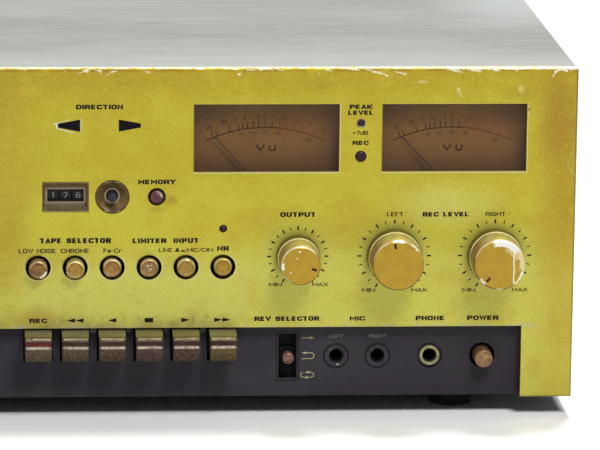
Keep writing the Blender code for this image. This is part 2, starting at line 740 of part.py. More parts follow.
# Casing
def front_panel(kit, looks):
    shape = bmesh.new()
    add_block(shape, around(0, HALF_WIDTH), (0, PANEL_THICKNESS), (0, PANEL_HEIGHT))
    front_edges = [
        edge
        for edge in shape.edges
        if all(corner.co.y < at(0, PANEL_THICKNESS / 2, 0).y for corner in edge.verts)
    ]
    bmesh.ops.bevel(shape, geom=front_edges, offset=PANEL_CHAMFER, segments=1, affect="EDGES")
    panel = kit.piece("front_panel", shape, looks["gold"], at(0, 0, 0))
    through = (-OVERRUN, PANEL_THICKNESS + OVERRUN)
    cuts = bmesh.new()
    add_block(cuts, around(0, BAND_HALF_WIDTH), through, (-OVERRUN, BAND_HEIGHT))
    for middle in (METER_LEFT_X, METER_RIGHT_X):
        add_block(cuts, around(middle, METER_WIDTH / 2), through, (METER_LOW_Z, METER_HIGH_Z))
    door_sides = around(DOOR_X, DOOR_OPENING_WIDTH / 2)
    add_block(cuts, door_sides, through, (DOOR_LOW_Z, DOOR_HIGH_Z))
    counter_sides = around(COUNTER_X, COUNTER_WIDTH / 2)
    add_block(cuts, counter_sides, through, around(COUNTER_Z, COUNTER_HEIGHT / 2))
    holes = [
        (RESET_X, COUNTER_Z, RESET_RADIUS, FINE_SIDES),
        (MEMORY_X, COUNTER_Z, MEMORY_HOLE_RADIUS, ROUND_SIDES),
        (column_x(len(BUTTON_REACHES) - 1), NOISE_LAMP_Z, NOISE_LAMP_HOLE_RADIUS, SMALL_SIDES),
        (METER_MIDDLE_X, PEAK_LAMP_Z, PEAK_LAMP_RADIUS + GAP, SMALL_SIDES),
        (METER_MIDDLE_X, RECORD_LAMP_Z, RECORD_LAMP_RADIUS + GAP, SMALL_SIDES),
    ]
    holes += [(column_x(step), BUTTON_Z, BUTTON_HOLE_RADIUS, ROUND_SIDES) for step in range(len(BUTTON_REACHES))]
    holes += [(x, KNOB_Z, SHAFT_HOLE_RADIUS, SMALL_SIDES) for x in (OUTPUT_X, RECORD_LEFT_X, RECORD_RIGHT_X)]
    for x, z, radius, sides in holes:
        add_rod(cuts, "Y", at(x, through[0], z), through[1] - through[0], radius, sides=sides)
    kit.change(panel, cuts, "DIFFERENCE")
    for side in (-1, 1):
        hole = arrow_lens(kit, "arrow_cut_" + str(side + 1), side, 0, PANEL_THICKNESS + OVERRUN, looks)
        kit.parts.objects.unlink(hole)
        kit.tools.objects.link(hole)
        hole.hide_render = True
        hole.display_type = "WIRE"
        kit.change_with(panel, hole, "DIFFERENCE")


def lower_panel(kit, looks):
    half_width = BAND_HALF_WIDTH + BAND_OVERLAP + BAND_FLANGE_SHEET
    top = BAND_HEIGHT + BAND_OVERLAP + BAND_FLANGE_SHEET
    shape = bmesh.new()
    add_block(shape, around(0, half_width), (BEHIND_PANEL_Y, BAND_BACK_Y), (0, top))
    panel = kit.piece("lower_panel", shape, looks["band"], at(0, BAND_RECESS, 0))
    cuts = bmesh.new()
    tray_sides = around(0, half_width - BAND_FLANGE_SHEET)
    add_block(cuts, tray_sides, (0, BAND_RECESS), (-OVERRUN, top - BAND_FLANGE_SHEET))
    for column in KEY_COLUMNS.values():
        slot_sides = around(column_x(column), KEY_WIDTH / 2 + KEY_SLOT_SIDE)
        slot_depth = (BAND_RECESS - OVERRUN, BAND_BACK_Y + OVERRUN)
        add_block(cuts, slot_sides, slot_depth, (KEY_SLOT_LOW_Z, KEY_TOP_Z + BAND_OVERLAP / 2))
    through = (BAND_RECESS - OVERRUN, BAND_BACK_Y + OVERRUN)
    slot_sides = around(SELECTOR_X, SELECTOR_SLOT_WIDTH / 2)
    add_block(cuts, slot_sides, through, around(CONTROL_Z, SELECTOR_SLOT_HEIGHT / 2))
    frame_sides = around(SELECTOR_X, SELECTOR_SLOT_WIDTH / 2 + SELECTOR_FRAME)
    frame_depth = (BAND_RECESS - OVERRUN, BAND_RECESS + SELECTOR_FRAME_DEPTH)
    add_block(cuts, frame_sides, frame_depth, around(CONTROL_Z, SELECTOR_SLOT_HEIGHT / 2 + SELECTOR_FRAME))
    for x in (MIC_LEFT_X, MIC_RIGHT_X, PHONE_X, POWER_X):
        add_rod(cuts, "Y", at(x, through[0], CONTROL_Z), through[1] - through[0], SOCKET_HOLE_RADIUS)
    kit.change(panel, cuts, "DIFFERENCE")


def cabinet_cover(kit, looks):
    shape = bmesh.new()
    depth = (COVER_FRONT_Y, BODY_DEPTH - REAR_SHEET)
    add_block(shape, around(0, COVER_HALF_WIDTH), depth, (BASE_LIFT, COVER_TOP_Z))
    cover = kit.piece("cabinet_cover", shape, looks["cover"], at(0, COVER_FRONT_Y, COVER_TOP_Z))
    room = bmesh.new()
    room_depth = (depth[0] - OVERRUN, depth[1] + OVERRUN)
    add_block(room, around(0, INNER_HALF_WIDTH), room_depth, (BASE_LIFT - OVERRUN, INNER_TOP_Z))
    kit.change(cover, room, "DIFFERENCE")


def chassis_base(kit, looks):
    half_width = INNER_HALF_WIDTH - GAP
    depth = (BAND_BACK_Y + GAP, BODY_DEPTH - REAR_SHEET - GAP)
    shape = bmesh.new()
    add_block(shape, around(0, half_width), depth, (BASE_LIFT, BASE_TOP_Z + BASE_LIP))
    base = kit.piece("chassis_base", shape, looks["steel"], at(0, depth[0], BASE_LIFT))
    cuts = bmesh.new()
    tray_depth = (depth[0] - OVERRUN, depth[1] + OVERRUN)
    tray_rise = (BASE_TOP_Z, BASE_TOP_Z + BASE_LIP + OVERRUN)
    add_block(cuts, around(0, half_width - BASE_SHEET), tray_depth, tray_rise)
    for step in range(VENT_COUNT):
        slot_x = VENT_X + (step - (VENT_COUNT - 1) / 2) * VENT_PITCH
        slot_rise = (BASE_LIFT - OVERRUN, BASE_TOP_Z + OVERRUN / 2)
        add_block(cuts, around(slot_x, VENT_WIDTH / 2), around(VENT_Y, VENT_LENGTH / 2), slot_rise)
    kit.change(base, cuts, "DIFFERENCE")
    posts = bmesh.new()
    sunk_z = BASE_TOP_Z - BASE_SHEET / 2
    for x, y, top in standoffs():
        add_rod(posts, "Z", at(x, y, sunk_z), top - sunk_z, STANDOFF_RADIUS, sides=SMALL_SIDES)
    lug_depth = around(KEY_PIVOT_Y, LUG_HALF_DEPTH)
    left_lug, right_lug = key_lugs()
    for lug_sides in (left_lug, right_lug):
        add_block(posts, lug_sides, lug_depth, (sunk_z, KEY_PIVOT_Z + LUG_HEAD))
    shaft_start = at(left_lug[0], KEY_PIVOT_Y, KEY_PIVOT_Z)
    add_rod(posts, "X", shaft_start, right_lug[1] - left_lug[0], KEY_SHAFT_RADIUS, sides=SMALL_SIDES)
    kit.change(base, posts, "UNION")


def key_lugs():
    """The two upright lugs of the base that hold the keys' shaft, as spans along x."""
    left_end = column_x(min(KEY_COLUMNS.values())) - KEY_WIDTH / 2 - LUG_CLEARANCE
    right_end = column_x(max(KEY_COLUMNS.values())) + KEY_WIDTH / 2 + LUG_CLEARANCE
    return ((left_end - LUG_THICKNESS, left_end), (right_end, right_end + LUG_THICKNESS))


def standoffs():
    """The posts under the two circuit boards: x, y and the height of the top."""
    jack_left, jack_right = jack_board_sides()
    jack_back = BAND_BACK_Y + GAP + JACK_BOARD_DEPTH
    posts = []
    for x in (jack_left + STANDOFF_INSET, jack_right - STANDOFF_INSET):
        posts.append((x, jack_back - STANDOFF_INSET, JACK_BOARD_Z - GAP))
    for x in (BOARD_LEFT_X + STANDOFF_INSET, BOARD_RIGHT_X - STANDOFF_INSET):
        for y in (BOARD_FRONT_Y + STANDOFF_INSET, BOARD_BACK_Y - STANDOFF_INSET):
            posts.append((x, y, BOARD_Z - GAP))
    return posts


def jack_board_sides():
    return (SELECTOR_X - JACK_BOARD_MARGIN, POWER_X + JACK_BOARD_MARGIN)


def rear_panel(kit, looks):
    half_width = INNER_HALF_WIDTH - GAP
    depth = (BODY_DEPTH - REAR_SHEET, BODY_DEPTH)
    shape = bmesh.new()
    add_block(shape, around(0, half_width), depth, (BASE_LIFT, INNER_TOP_Z - GAP))
    panel = kit.piece("rear_panel", shape, looks["steel"], at(0, BODY_DEPTH, 0))
    cuts = bmesh.new()
    inlet_room = around(INLET_X, INLET_WIDTH / 2)
    inlet_rise = around(SOCKET_ROW_Z, INLET_HEIGHT / 2)
    add_block(cuts, inlet_room, (depth[0] - OVERRUN, depth[1] + OVERRUN), inlet_rise)
    add_rod(cuts, "Y", at(DIN_X, depth[0] - OVERRUN, SOCKET_ROW_Z), REAR_SHEET + 2 * OVERRUN, DIN_PLUG_RADIUS)
    kit.change(panel, cuts, "DIFFERENCE")
    fittings = bmesh.new()
    start_y = BODY_DEPTH - REAR_SHEET / 2
    reach = SOCKET_REACH + REAR_SHEET / 2
    for row in range(SOCKET_ROWS):
        for column in range(SOCKET_COLUMNS):
            x = SOCKET_START_X + column * SOCKET_PITCH
            z = SOCKET_ROW_Z + row * SOCKET_PITCH
            add_rod(fittings, "Y", at(x, start_y, z), reach, SOCKET_RADIUS, sides=SMALL_SIDES)
    kit.change(panel, fittings, "UNION")
    cups = bmesh.new()
    cup_y = (BODY_DEPTH - INLET_DEPTH, depth[1] - REAR_SHEET / 2)
    cup_half_width = INLET_WIDTH / 2 + INLET_WALL
    cup_half_height = INLET_HEIGHT / 2 + INLET_WALL
    add_block(cups, around(INLET_X, cup_half_width), cup_y, around(SOCKET_ROW_Z, cup_half_height))
    din_start = at(DIN_X, BODY_DEPTH - DIN_DEPTH, SOCKET_ROW_Z)
    add_rod(cups, "Y", din_start, DIN_DEPTH - REAR_SHEET / 2, DIN_RADIUS)
    kit.change(panel, cups, "UNION")
    bores = bmesh.new()
    bore_y = (BODY_DEPTH - INLET_DEPTH + INLET_WALL, BODY_DEPTH + OVERRUN)
    add_block(bores, inlet_room, bore_y, inlet_rise)
    din_bore_start = at(DIN_X, BODY_DEPTH - DIN_DEPTH + REAR_SHEET, SOCKET_ROW_Z)
    add_rod(bores, "Y", din_bore_start, DIN_DEPTH, DIN_PLUG_RADIUS)
    kit.change(panel, bores, "DIFFERENCE")
    pins = bmesh.new()
    for side in (-1, 1):
        x = INLET_X + side * INLET_PIN_SPACING / 2
        start = at(x, BODY_DEPTH - INLET_DEPTH + INLET_WALL / 2, SOCKET_ROW_Z)
        add_rod(pins, "Y", start, INLET_PIN_LENGTH, INLET_PIN_RADIUS, sides=SMALL_SIDES)
    kit.change(panel, pins, "UNION")


def feet(kit, looks):
    rear_y = BODY_DEPTH - FOOT_REAR_MARGIN
    top = BASE_LIFT - GAP
    for row, y in (("front", FOOT_FRONT_Y), ("rear", rear_y)):
        for side, x in (("left", -FOOT_X), ("right", FOOT_X)):
            shape = bmesh.new()
            start = at(x, y, -FOOT_HEIGHT)
            add_rod(shape, "Z", start, FOOT_HEIGHT + top, FOOT_RADIUS - FOOT_TAPER, FOOT_RADIUS)
            foot = kit.piece("foot_" + row + "_" + side, shape, looks["rubber"], at(x, y, -FOOT_HEIGHT))
            recess = bmesh.new()
            recess_start = at(x, y, -FOOT_HEIGHT - OVERRUN)
            add_rod(recess, "Z", recess_start, FOOT_RECESS_DEPTH + OVERRUN, FOOT_RECESS_RADIUS, sides=SMALL_SIDES)
            kit.change(foot, recess, "DIFFERENCE")


# Meters and lamps
def meter_housing(kit, looks):
    shape = bmesh.new()
    depth = (HOUSING_FRONT_Y, HOUSING_FRONT_Y + HOUSING_DEPTH)
    add_block(shape, (HOUSING_LEFT_X, HOUSING_RIGHT_X), depth, (HOUSING_LOW_Z, HOUSING_HIGH_Z))
    housing = kit.piece("meter_housing", shape, looks["black_plastic"], at(METER_MIDDLE_X, depth[0], METER_LOW_Z))
    rooms = bmesh.new()
    half_width = METER_WIDTH / 2 + METER_CAVITY_SIDE
    rise = (METER_LOW_Z - METER_CAVITY_DROP, METER_HIGH_Z + METER_CAVITY_SIDE)
    for middle in (METER_LEFT_X, METER_RIGHT_X):
        add_block(rooms, around(middle, half_width), (depth[0] - OVERRUN, METER_FLOOR_Y), rise)
    lamp_middle = (PEAK_LAMP_Z + RECORD_LAMP_Z) / 2
    lamp_depth = (depth[0] - OVERRUN, depth[0] + LAMP_ROOM_DEPTH)
    lamp_rise = around(lamp_middle, LAMP_ROOM_HEIGHT / 2)
    add_block(rooms, around(METER_MIDDLE_X, LAMP_ROOM_WIDTH / 2), lamp_depth, lamp_rise)
    kit.change(housing, rooms, "DIFFERENCE")


def meter_window(kit, looks):
    shape = bmesh.new()
    flange = (BEHIND_PANEL_Y, WINDOW_BACK_Y)
    add_block(shape, (HOUSING_LEFT_X, HOUSING_RIGHT_X), flange, (METER_LOW_Z - WINDOW_BORDER, HOUSING_HIGH_Z))
    window = kit.piece("meter_window", shape, looks["smoked"], at(METER_MIDDLE_X, flange[0], METER_LOW_Z))
    raised = bmesh.new()
    for middle in (METER_LEFT_X, METER_RIGHT_X):
        sides = around(middle, METER_WIDTH / 2 - GAP)
        rise = (METER_LOW_Z + GAP, METER_HIGH_Z - GAP)
        add_block(raised, sides, (WINDOW_RECESS, BEHIND_PANEL_Y + WINDOW_FLANGE / 2), rise)
    kit.change(window, raised, "UNION")
    holes = bmesh.new()
    for z, radius in ((PEAK_LAMP_Z, PEAK_LAMP_RADIUS), (RECORD_LAMP_Z, RECORD_LAMP_RADIUS)):
        start = at(METER_MIDDLE_X, flange[0] - OVERRUN, z)
        add_rod(holes, "Y", start, WINDOW_FLANGE + 2 * OVERRUN, radius + GAP, sides=SMALL_SIDES)
    kit.change(window, holes, "DIFFERENCE")


def meter_needle(kit, looks, side, middle_x):
    pivot = at(middle_x, METER_FLOOR_Y - GAP, NEEDLE_PIVOT_Z)
    blade_y = (METER_FLOOR_Y - METER_CAVITY_DEPTH / 2, METER_FLOOR_Y - METER_CAVITY_DEPTH / 2 + NEEDLE_THICKNESS)
    shape = bmesh.new()
    blade_rise = (NEEDLE_PIVOT_Z - NEEDLE_TAIL, NEEDLE_PIVOT_Z + NEEDLE_LENGTH)
    add_block(shape, around(middle_x, NEEDLE_WIDTH / 2), blade_y, blade_rise)
    needle = kit.piece("meter_needle_" + side, shape, looks["needle"], pivot)
    hub = bmesh.new()
    hub_front = blade_y[0] - NEEDLE_THICKNESS
    hub_start = Vector((0, at(0, hub_front, 0).y - pivot.y, 0))
    add_rod(hub, "Y", hub_start, METER_FLOOR_Y - GAP - hub_front, NEEDLE_HUB_RADIUS, sides=SMALL_SIDES)
    tool = kit.tool(needle.name + "_hub", hub)
    tool.parent = needle
    kit.change_with(needle, tool, "UNION")
    needle.rotation_euler = (0, -math.radians(NEEDLE_REST_ANGLE), 0)


def lamp_board(kit, looks):
    back_y = HOUSING_FRONT_Y + LAMP_ROOM_DEPTH - GAP
    front_y = back_y - LAMP_BOARD_THICKNESS
    shape = bmesh.new()
    lamp_middle = (PEAK_LAMP_Z + RECORD_LAMP_Z) / 2
    board_rise = around(lamp_middle, LAMP_BOARD_HEIGHT / 2)
    add_block(shape, around(METER_MIDDLE_X, LAMP_BOARD_WIDTH / 2), (front_y, back_y), board_rise)
    board = kit.piece("lamp_board", shape, looks["lamp"], at(METER_MIDDLE_X, front_y, lamp_middle))
    lamps = bmesh.new()
    for z, radius in ((PEAK_LAMP_Z, PEAK_LAMP_RADIUS), (RECORD_LAMP_Z, RECORD_LAMP_RADIUS)):
        length = front_y + LAMP_BOARD_THICKNESS / 2
        add_rod(lamps, "Y", at(METER_MIDDLE_X, 0, z), length, radius, sides=SMALL_SIDES)
        add_rod(lamps, "Y", at(METER_MIDDLE_X, -LAMP_PROUD, z), LAMP_PROUD * 2, radius / 2, radius, sides=SMALL_SIDES)
    kit.change(board, lamps, "UNION")


def arrow_outline(side, spread):
    """A direction lamp's outline, wide end inwards. spread is its clearance in the panel."""
    tip = ARROW_MIDDLE_X + side * (ARROW_HALF_SPAN + ARROW_LENGTH / 2 - spread)
    root = ARROW_MIDDLE_X + side * (ARROW_HALF_SPAN - ARROW_LENGTH / 2 + spread)
    wide = ARROW_WIDE / 2 - spread
    narrow = ARROW_NARROW / 2 - spread
    middle = at(0, 0, ARROW_Z).z
    outline = [(root, middle - wide), (tip, middle - narrow), (tip, middle + narrow), (root, middle + wide)]
    return outline if side > 0 else outline[::-1]


def arrow_lens(kit, name, side, spread, depth, looks):
    """A lens that starts OVERRUN in front of the panel's face, or its recess behind the face when it has a spread."""
    front = ARROW_RECESS if spread else -OVERRUN
    middle_y = at(0, (front + depth) / 2, 0).y
    matrix = Matrix.Translation((0, middle_y, 0)) @ FACING_FRONT
    return kit.extruded(name, [arrow_outline(side, spread)], depth - front, matrix, looks["arrow"])


def direction_lamps(kit, looks):
    for name, side in (("left", -1), ("right", 1)):
        lens = arrow_lens(kit, "direction_lamp_" + name, side, GAP, ARROW_BODY_DEPTH, looks)
        flange = bmesh.new()
        half_length = ARROW_LENGTH / 2 + ARROW_FLANGE
        flange_sides = around(ARROW_MIDDLE_X + side * ARROW_HALF_SPAN, half_length)
        flange_depth = (BEHIND_PANEL_Y, BEHIND_PANEL_Y + ARROW_FLANGE_THICKNESS)
        add_block(flange, flange_sides, flange_depth, around(ARROW_Z, ARROW_WIDE / 2 + ARROW_FLANGE))
        kit.change(lens, flange, "UNION")


# Counter unit: window funnel, drum box, reset dish and memory switch sleeve on one backing plate
def counter_housing(kit, looks):
    drum_y = FUNNEL_DEPTH + COUNTER_FRAME + GAP + DRUM_RADIUS
    box_half_width = COUNTER_SIGHT_WIDTH / 2 + COUNTER_BODY_WALL + COUNTER_FRAME
    box_depth = drum_y + DRUM_RADIUS + GAP
    plate_depth = (BEHIND_PANEL_Y, BEHIND_PANEL_Y + ESCUTCHEON_SHEET)
    plate_sides = (COUNTER_X - box_half_width - COUNTER_BODY_WALL, MEMORY_X + MEMORY_HOLE_RADIUS + SLEEVE_WALL)
    plate_rise = around(COUNTER_Z, RESET_RADIUS + COUNTER_BODY_WALL)
    shape = bmesh.new()
    add_block(shape, plate_sides, plate_depth, plate_rise)
    housing = kit.piece("counter_housing", shape, looks["brown_metal"], at(COUNTER_X, 0, COUNTER_Z))
    joined = bmesh.new()
    rim_sides = around(COUNTER_X, COUNTER_WIDTH / 2 - GAP)
    add_block(joined, rim_sides, (0, plate_depth[1]), around(COUNTER_Z, COUNTER_HEIGHT / 2 - GAP))
    box_rise = around(COUNTER_Z, DRUM_RADIUS + COUNTER_BODY_WALL)
    add_block(joined, around(COUNTER_X, box_half_width), (plate_depth[0] + GAP, box_depth), box_rise)
    add_rod(joined, "Y", at(RESET_X, 0, COUNTER_Z), plate_depth[1], RESET_RADIUS - GAP, sides=FINE_SIDES)
    for x, radius in ((RESET_X, RESET_BUTTON_RADIUS), (MEMORY_X, MEMORY_BUTTON_RADIUS)):
        start = at(x, plate_depth[0] + GAP, COUNTER_Z)
        add_rod(joined, "Y", start, SLEEVE_LENGTH, radius + GAP + SLEEVE_WALL, sides=SMALL_SIDES)
    kit.change(housing, joined, "UNION")
    cuts = bmesh.new()
    mouth = (COUNTER_WIDTH - 2 * (GAP + COUNTER_WALL), COUNTER_HEIGHT - 2 * (GAP + COUNTER_WALL))
    throat = (FUNNEL_END_WIDTH, FUNNEL_END_HEIGHT)
    add_funnel(cuts, COUNTER_X, COUNTER_Z, (-GAP, FUNNEL_DEPTH), mouth, throat)
    sight_sides = around(COUNTER_X, COUNTER_SIGHT_WIDTH / 2)
    add_block(cuts, sight_sides, (0, drum_y), around(COUNTER_Z, COUNTER_SIGHT_HEIGHT / 2))
    room_sides = around(COUNTER_X, 1.5 * DRUM_PITCH + GAP)
    room_depth = (FUNNEL_DEPTH + COUNTER_FRAME, box_depth + OVERRUN)
    add_block(cuts, room_sides, room_depth, around(COUNTER_Z, DRUM_RADIUS + GAP))
    dish_start = at(RESET_X, -GAP, COUNTER_Z)
    dish_rim = RESET_RADIUS - GAP - COUNTER_WALL
    add_rod(cuts, "Y", dish_start, DISH_DEPTH + GAP, dish_rim, DISH_FLOOR_RADIUS, FINE_SIDES)
    add_rod(cuts, "Y", dish_start, plate_depth[1] + GAP, RESET_HOLE_RADIUS)
    reset_bore = RESET_BUTTON_RADIUS + GAP
    add_rod(cuts, "Y", dish_start, SLEEVE_LENGTH + 2 * plate_depth[1], reset_bore, sides=SMALL_SIDES)
    memory_bore = MEMORY_BUTTON_RADIUS + GAP
    memory_start = at(MEMORY_X, -OVERRUN, COUNTER_Z)
    add_rod(cuts, "Y", memory_start, SLEEVE_LENGTH + 2 * plate_depth[1], memory_bore, sides=SMALL_SIDES)
    kit.change(housing, cuts, "DIFFERENCE")
    axle = bmesh.new()
    axle_start = at(COUNTER_X - 1.5 * DRUM_PITCH - COUNTER_BODY_WALL, drum_y, COUNTER_Z)
    axle_length = 3 * DRUM_PITCH + 2 * COUNTER_BODY_WALL
    add_rod(axle, "X", axle_start, axle_length, DRUM_AXLE_RADIUS, sides=SMALL_SIDES)
    kit.change(housing, axle, "UNION")


def counter_drums(kit, looks):
    drum_y = FUNNEL_DEPTH + COUNTER_FRAME + GAP + DRUM_RADIUS
    for step, name in enumerate(("hundreds", "tens", "units")):
        middle_x = COUNTER_X + (step - 1) * DRUM_PITCH
        shape = bmesh.new()
        add_rod(shape, "X", at(middle_x - DRUM_WIDTH / 2, drum_y, COUNTER_Z), DRUM_WIDTH, DRUM_RADIUS)
        drum = kit.piece("counter_drum_" + name, shape, looks["black_plastic"], at(middle_x, drum_y, COUNTER_Z))
        bore = bmesh.new()
        start = at(middle_x - DRUM_WIDTH / 2 - OVERRUN, drum_y, COUNTER_Z)
        add_rod(bore, "X", start, DRUM_WIDTH + 2 * OVERRUN, DRUM_AXLE_RADIUS + GAP, sides=SMALL_SIDES)
        kit.change(drum, bore, "DIFFERENCE")


def small_buttons(kit, looks):
    end = -(BEHIND_PANEL_Y + GAP + SLEEVE_LENGTH)
    kit.turned(
        "reset_button",
        [(0, RESET_REACH), (RESET_BUTTON_RADIUS, RESET_REACH), (RESET_BUTTON_RADIUS, end), (0, end)],
        at(RESET_X, 0, COUNTER_Z),
        looks["grey_plastic"],
        SMALL_SIDES,
    )
    kit.turned(
        "memory_button",
        [
            (0, MEMORY_REACH),
            (MEMORY_BUTTON_RADIUS - BUTTON_CHAMFER, MEMORY_REACH),
            (MEMORY_BUTTON_RADIUS, MEMORY_REACH - BUTTON_CHAMFER),
            (MEMORY_BUTTON_RADIUS, end),
            (0, end),
        ],
        at(MEMORY_X, 0, COUNTER_Z),
        looks["mauve"],
    )


# Push buttons and their switches
def push_buttons(kit, looks):
    for column, (name, reach) in enumerate(BUTTON_REACHES.items()):
        back = reach - BUTTON_LENGTH
        end = back - STEM_LENGTH
        profile = [
            (0, reach - BUTTON_RING_DEPTH),
            (BUTTON_RING_RADIUS, reach - BUTTON_RING_DEPTH),
            (BUTTON_RING_RADIUS, reach),
            (BUTTON_RADIUS - BUTTON_CHAMFER, reach),
            (BUTTON_RADIUS, reach - BUTTON_CHAMFER),
            (BUTTON_RADIUS, back),
            (STEM_RADIUS, back),
            (STEM_RADIUS, end),
            (0, end),
        ]
        kit.turned(name, profile, at(column_x(column), 0, BUTTON_Z), looks["copper"])


def switch_bank(kit, looks):
    last = len(BUTTON_REACHES) - 1
    ends = (column_x(0) - BANK_END_MARGIN, column_x(last) + BANK_END_MARGIN)
    body_depth = (BANK_BODY_Y, BANK_BODY_Y + BANK_BODY_DEPTH)
    shape = bmesh.new()
    sheet_depth = (BANK_FRONT_Y, BANK_FRONT_Y + BANK_SHEET)
    add_block(shape, ends, sheet_depth, (BUTTON_Z - BANK_BODY_HALF_HEIGHT, BANK_TOP_Z))
    bank = kit.piece("switch_bank", shape, looks["steel"], at(column_x(0), BANK_FRONT_Y, BUTTON_Z))
    joined = bmesh.new()
    body_rise = around(BUTTON_Z, BANK_BODY_HALF_HEIGHT - GAP)
    add_block(joined, (ends[0] + GAP, ends[1] - GAP), body_depth, body_rise)
    for side, end in ((1, ends[0]), (-1, ends[1])):
        web = sorted((end, end + side * BANK_SHEET))
        web_depth = (BEHIND_PANEL_Y, BANK_BODY_Y + BANK_SHEET)
        add_block(joined, web, web_depth, around(BUTTON_Z, BANK_BODY_HALF_HEIGHT - BANK_SHEET))
    lamp_x = column_x(last)
    lamp_length = BANK_FRONT_Y + BANK_SHEET / 2 - ARROW_RECESS
    add_rod(joined, "Y", at(lamp_x, ARROW_RECESS, NOISE_LAMP_Z), lamp_length, NOISE_LAMP_RADIUS, sides=SMALL_SIDES)
    kit.change(bank, joined, "UNION")
    cuts = bmesh.new()
    gap_sides = (column_x(0) - BUTTON_HOLE_RADIUS, column_x(last) + BUTTON_HOLE_RADIUS)
    gap_depth = (BANK_FRONT_Y - OVERRUN, BANK_FRONT_Y + BANK_SHEET + OVERRUN)
    add_block(cuts, gap_sides, gap_depth, around(BUTTON_Z, BUTTON_HOLE_RADIUS))
    for column in range(len(BUTTON_REACHES)):
        bore_start = at(column_x(column), BANK_BODY_Y - OVERRUN, BUTTON_Z)
        add_rod(cuts, "Y", bore_start, BANK_BODY_DEPTH + 2 * OVERRUN, STEM_RADIUS + GAP, sides=SMALL_SIDES)
    kit.change(bank, cuts, "DIFFERENCE")


# Rotary knobs and the level controls behind them
def knob(kit, name, x, face_radius, pointer_angle, looks):
    reach = KNOB_REACH
    body_radius = face_radius + KNOB_FLARE
    flange_radius = body_radius + KNOB_FLANGE_STEP
    flange_top = KNOB_LIFT + KNOB_FLANGE_THICKNESS
    profile = [
        (0, reach),
        (face_radius - KNOB_CHAMFER, reach),
        (face_radius, reach - KNOB_CHAMFER),
        (body_radius, flange_top + KNOB_GROOVE_WIDTH),
        (body_radius - KNOB_GROOVE_DEPTH, flange_top + KNOB_GROOVE_WIDTH),
        (body_radius - KNOB_GROOVE_DEPTH, flange_top),
        (flange_radius, flange_top),
        (flange_radius, KNOB_LIFT),
        (SHAFT_RADIUS, KNOB_LIFT),
        (SHAFT_RADIUS, -SHAFT_END_Y),
        (0, -SHAFT_END_Y),
    ]
    item = kit.turned(name, profile, at(x, 0, KNOB_Z), looks["knob_gold"], FINE_SIDES)
    notch = bmesh.new()
    low = Vector((-POINTER_WIDTH / 2, face_radius - KNOB_CHAMFER - POINTER_LENGTH, reach - POINTER_DEPTH))
    high = Vector((POINTER_WIDTH / 2, face_radius - KNOB_CHAMFER, reach + OVERRUN))
    sides = high - low
    place = Matrix.Translation((low + high) / 2) @ Matrix.Diagonal((*sides, 1.0))
    bmesh.ops.create_cube(notch, size=1.0, matrix=place)
    tool = kit.tool(name + "_pointer", notch)
    tool.parent = item
    kit.change_with(item, tool, "DIFFERENCE")
    item.rotation_mode = "XYZ"
    item.rotation_euler = (math.pi / 2, math.radians(pointer_angle), 0)


def level_controls(kit, looks):
    sheet = (POT_BRACKET_Y, POT_BRACKET_Y + POT_BRACKET_SHEET)
    shape = bmesh.new()
    sides = (OUTPUT_X - POT_BRACKET_MARGIN, RECORD_RIGHT_X + POT_BRACKET_MARGIN)
    add_block(shape, sides, sheet, around(KNOB_Z, POT_BRACKET_HALF_HEIGHT))
    controls = kit.piece("level_controls", shape, looks["steel"], at(RECORD_LEFT_X, sheet[0], KNOB_Z))
    joined = bmesh.new()
    cuts = bmesh.new()
    for x in (OUTPUT_X, RECORD_LEFT_X, RECORD_RIGHT_X):
        neck_length = sheet[1] - BEHIND_PANEL_Y
        add_rod(joined, "Y", at(x, BEHIND_PANEL_Y, KNOB_Z), neck_length, POT_NECK_RADIUS, sides=SMALL_SIDES)
        add_rod(joined, "Y", at(x, sheet[0] + GAP, KNOB_Z), POT_DEPTH, POT_RADIUS)
        bore_length = SHAFT_END_Y + GAP - BEHIND_PANEL_Y + OVERRUN
        bore_start = at(x, BEHIND_PANEL_Y - OVERRUN, KNOB_Z)
        add_rod(cuts, "Y", bore_start, bore_length, SHAFT_RADIUS + GAP, sides=SMALL_SIDES)
    kit.change(controls, joined, "UNION")
    kit.change(controls, cuts, "DIFFERENCE")


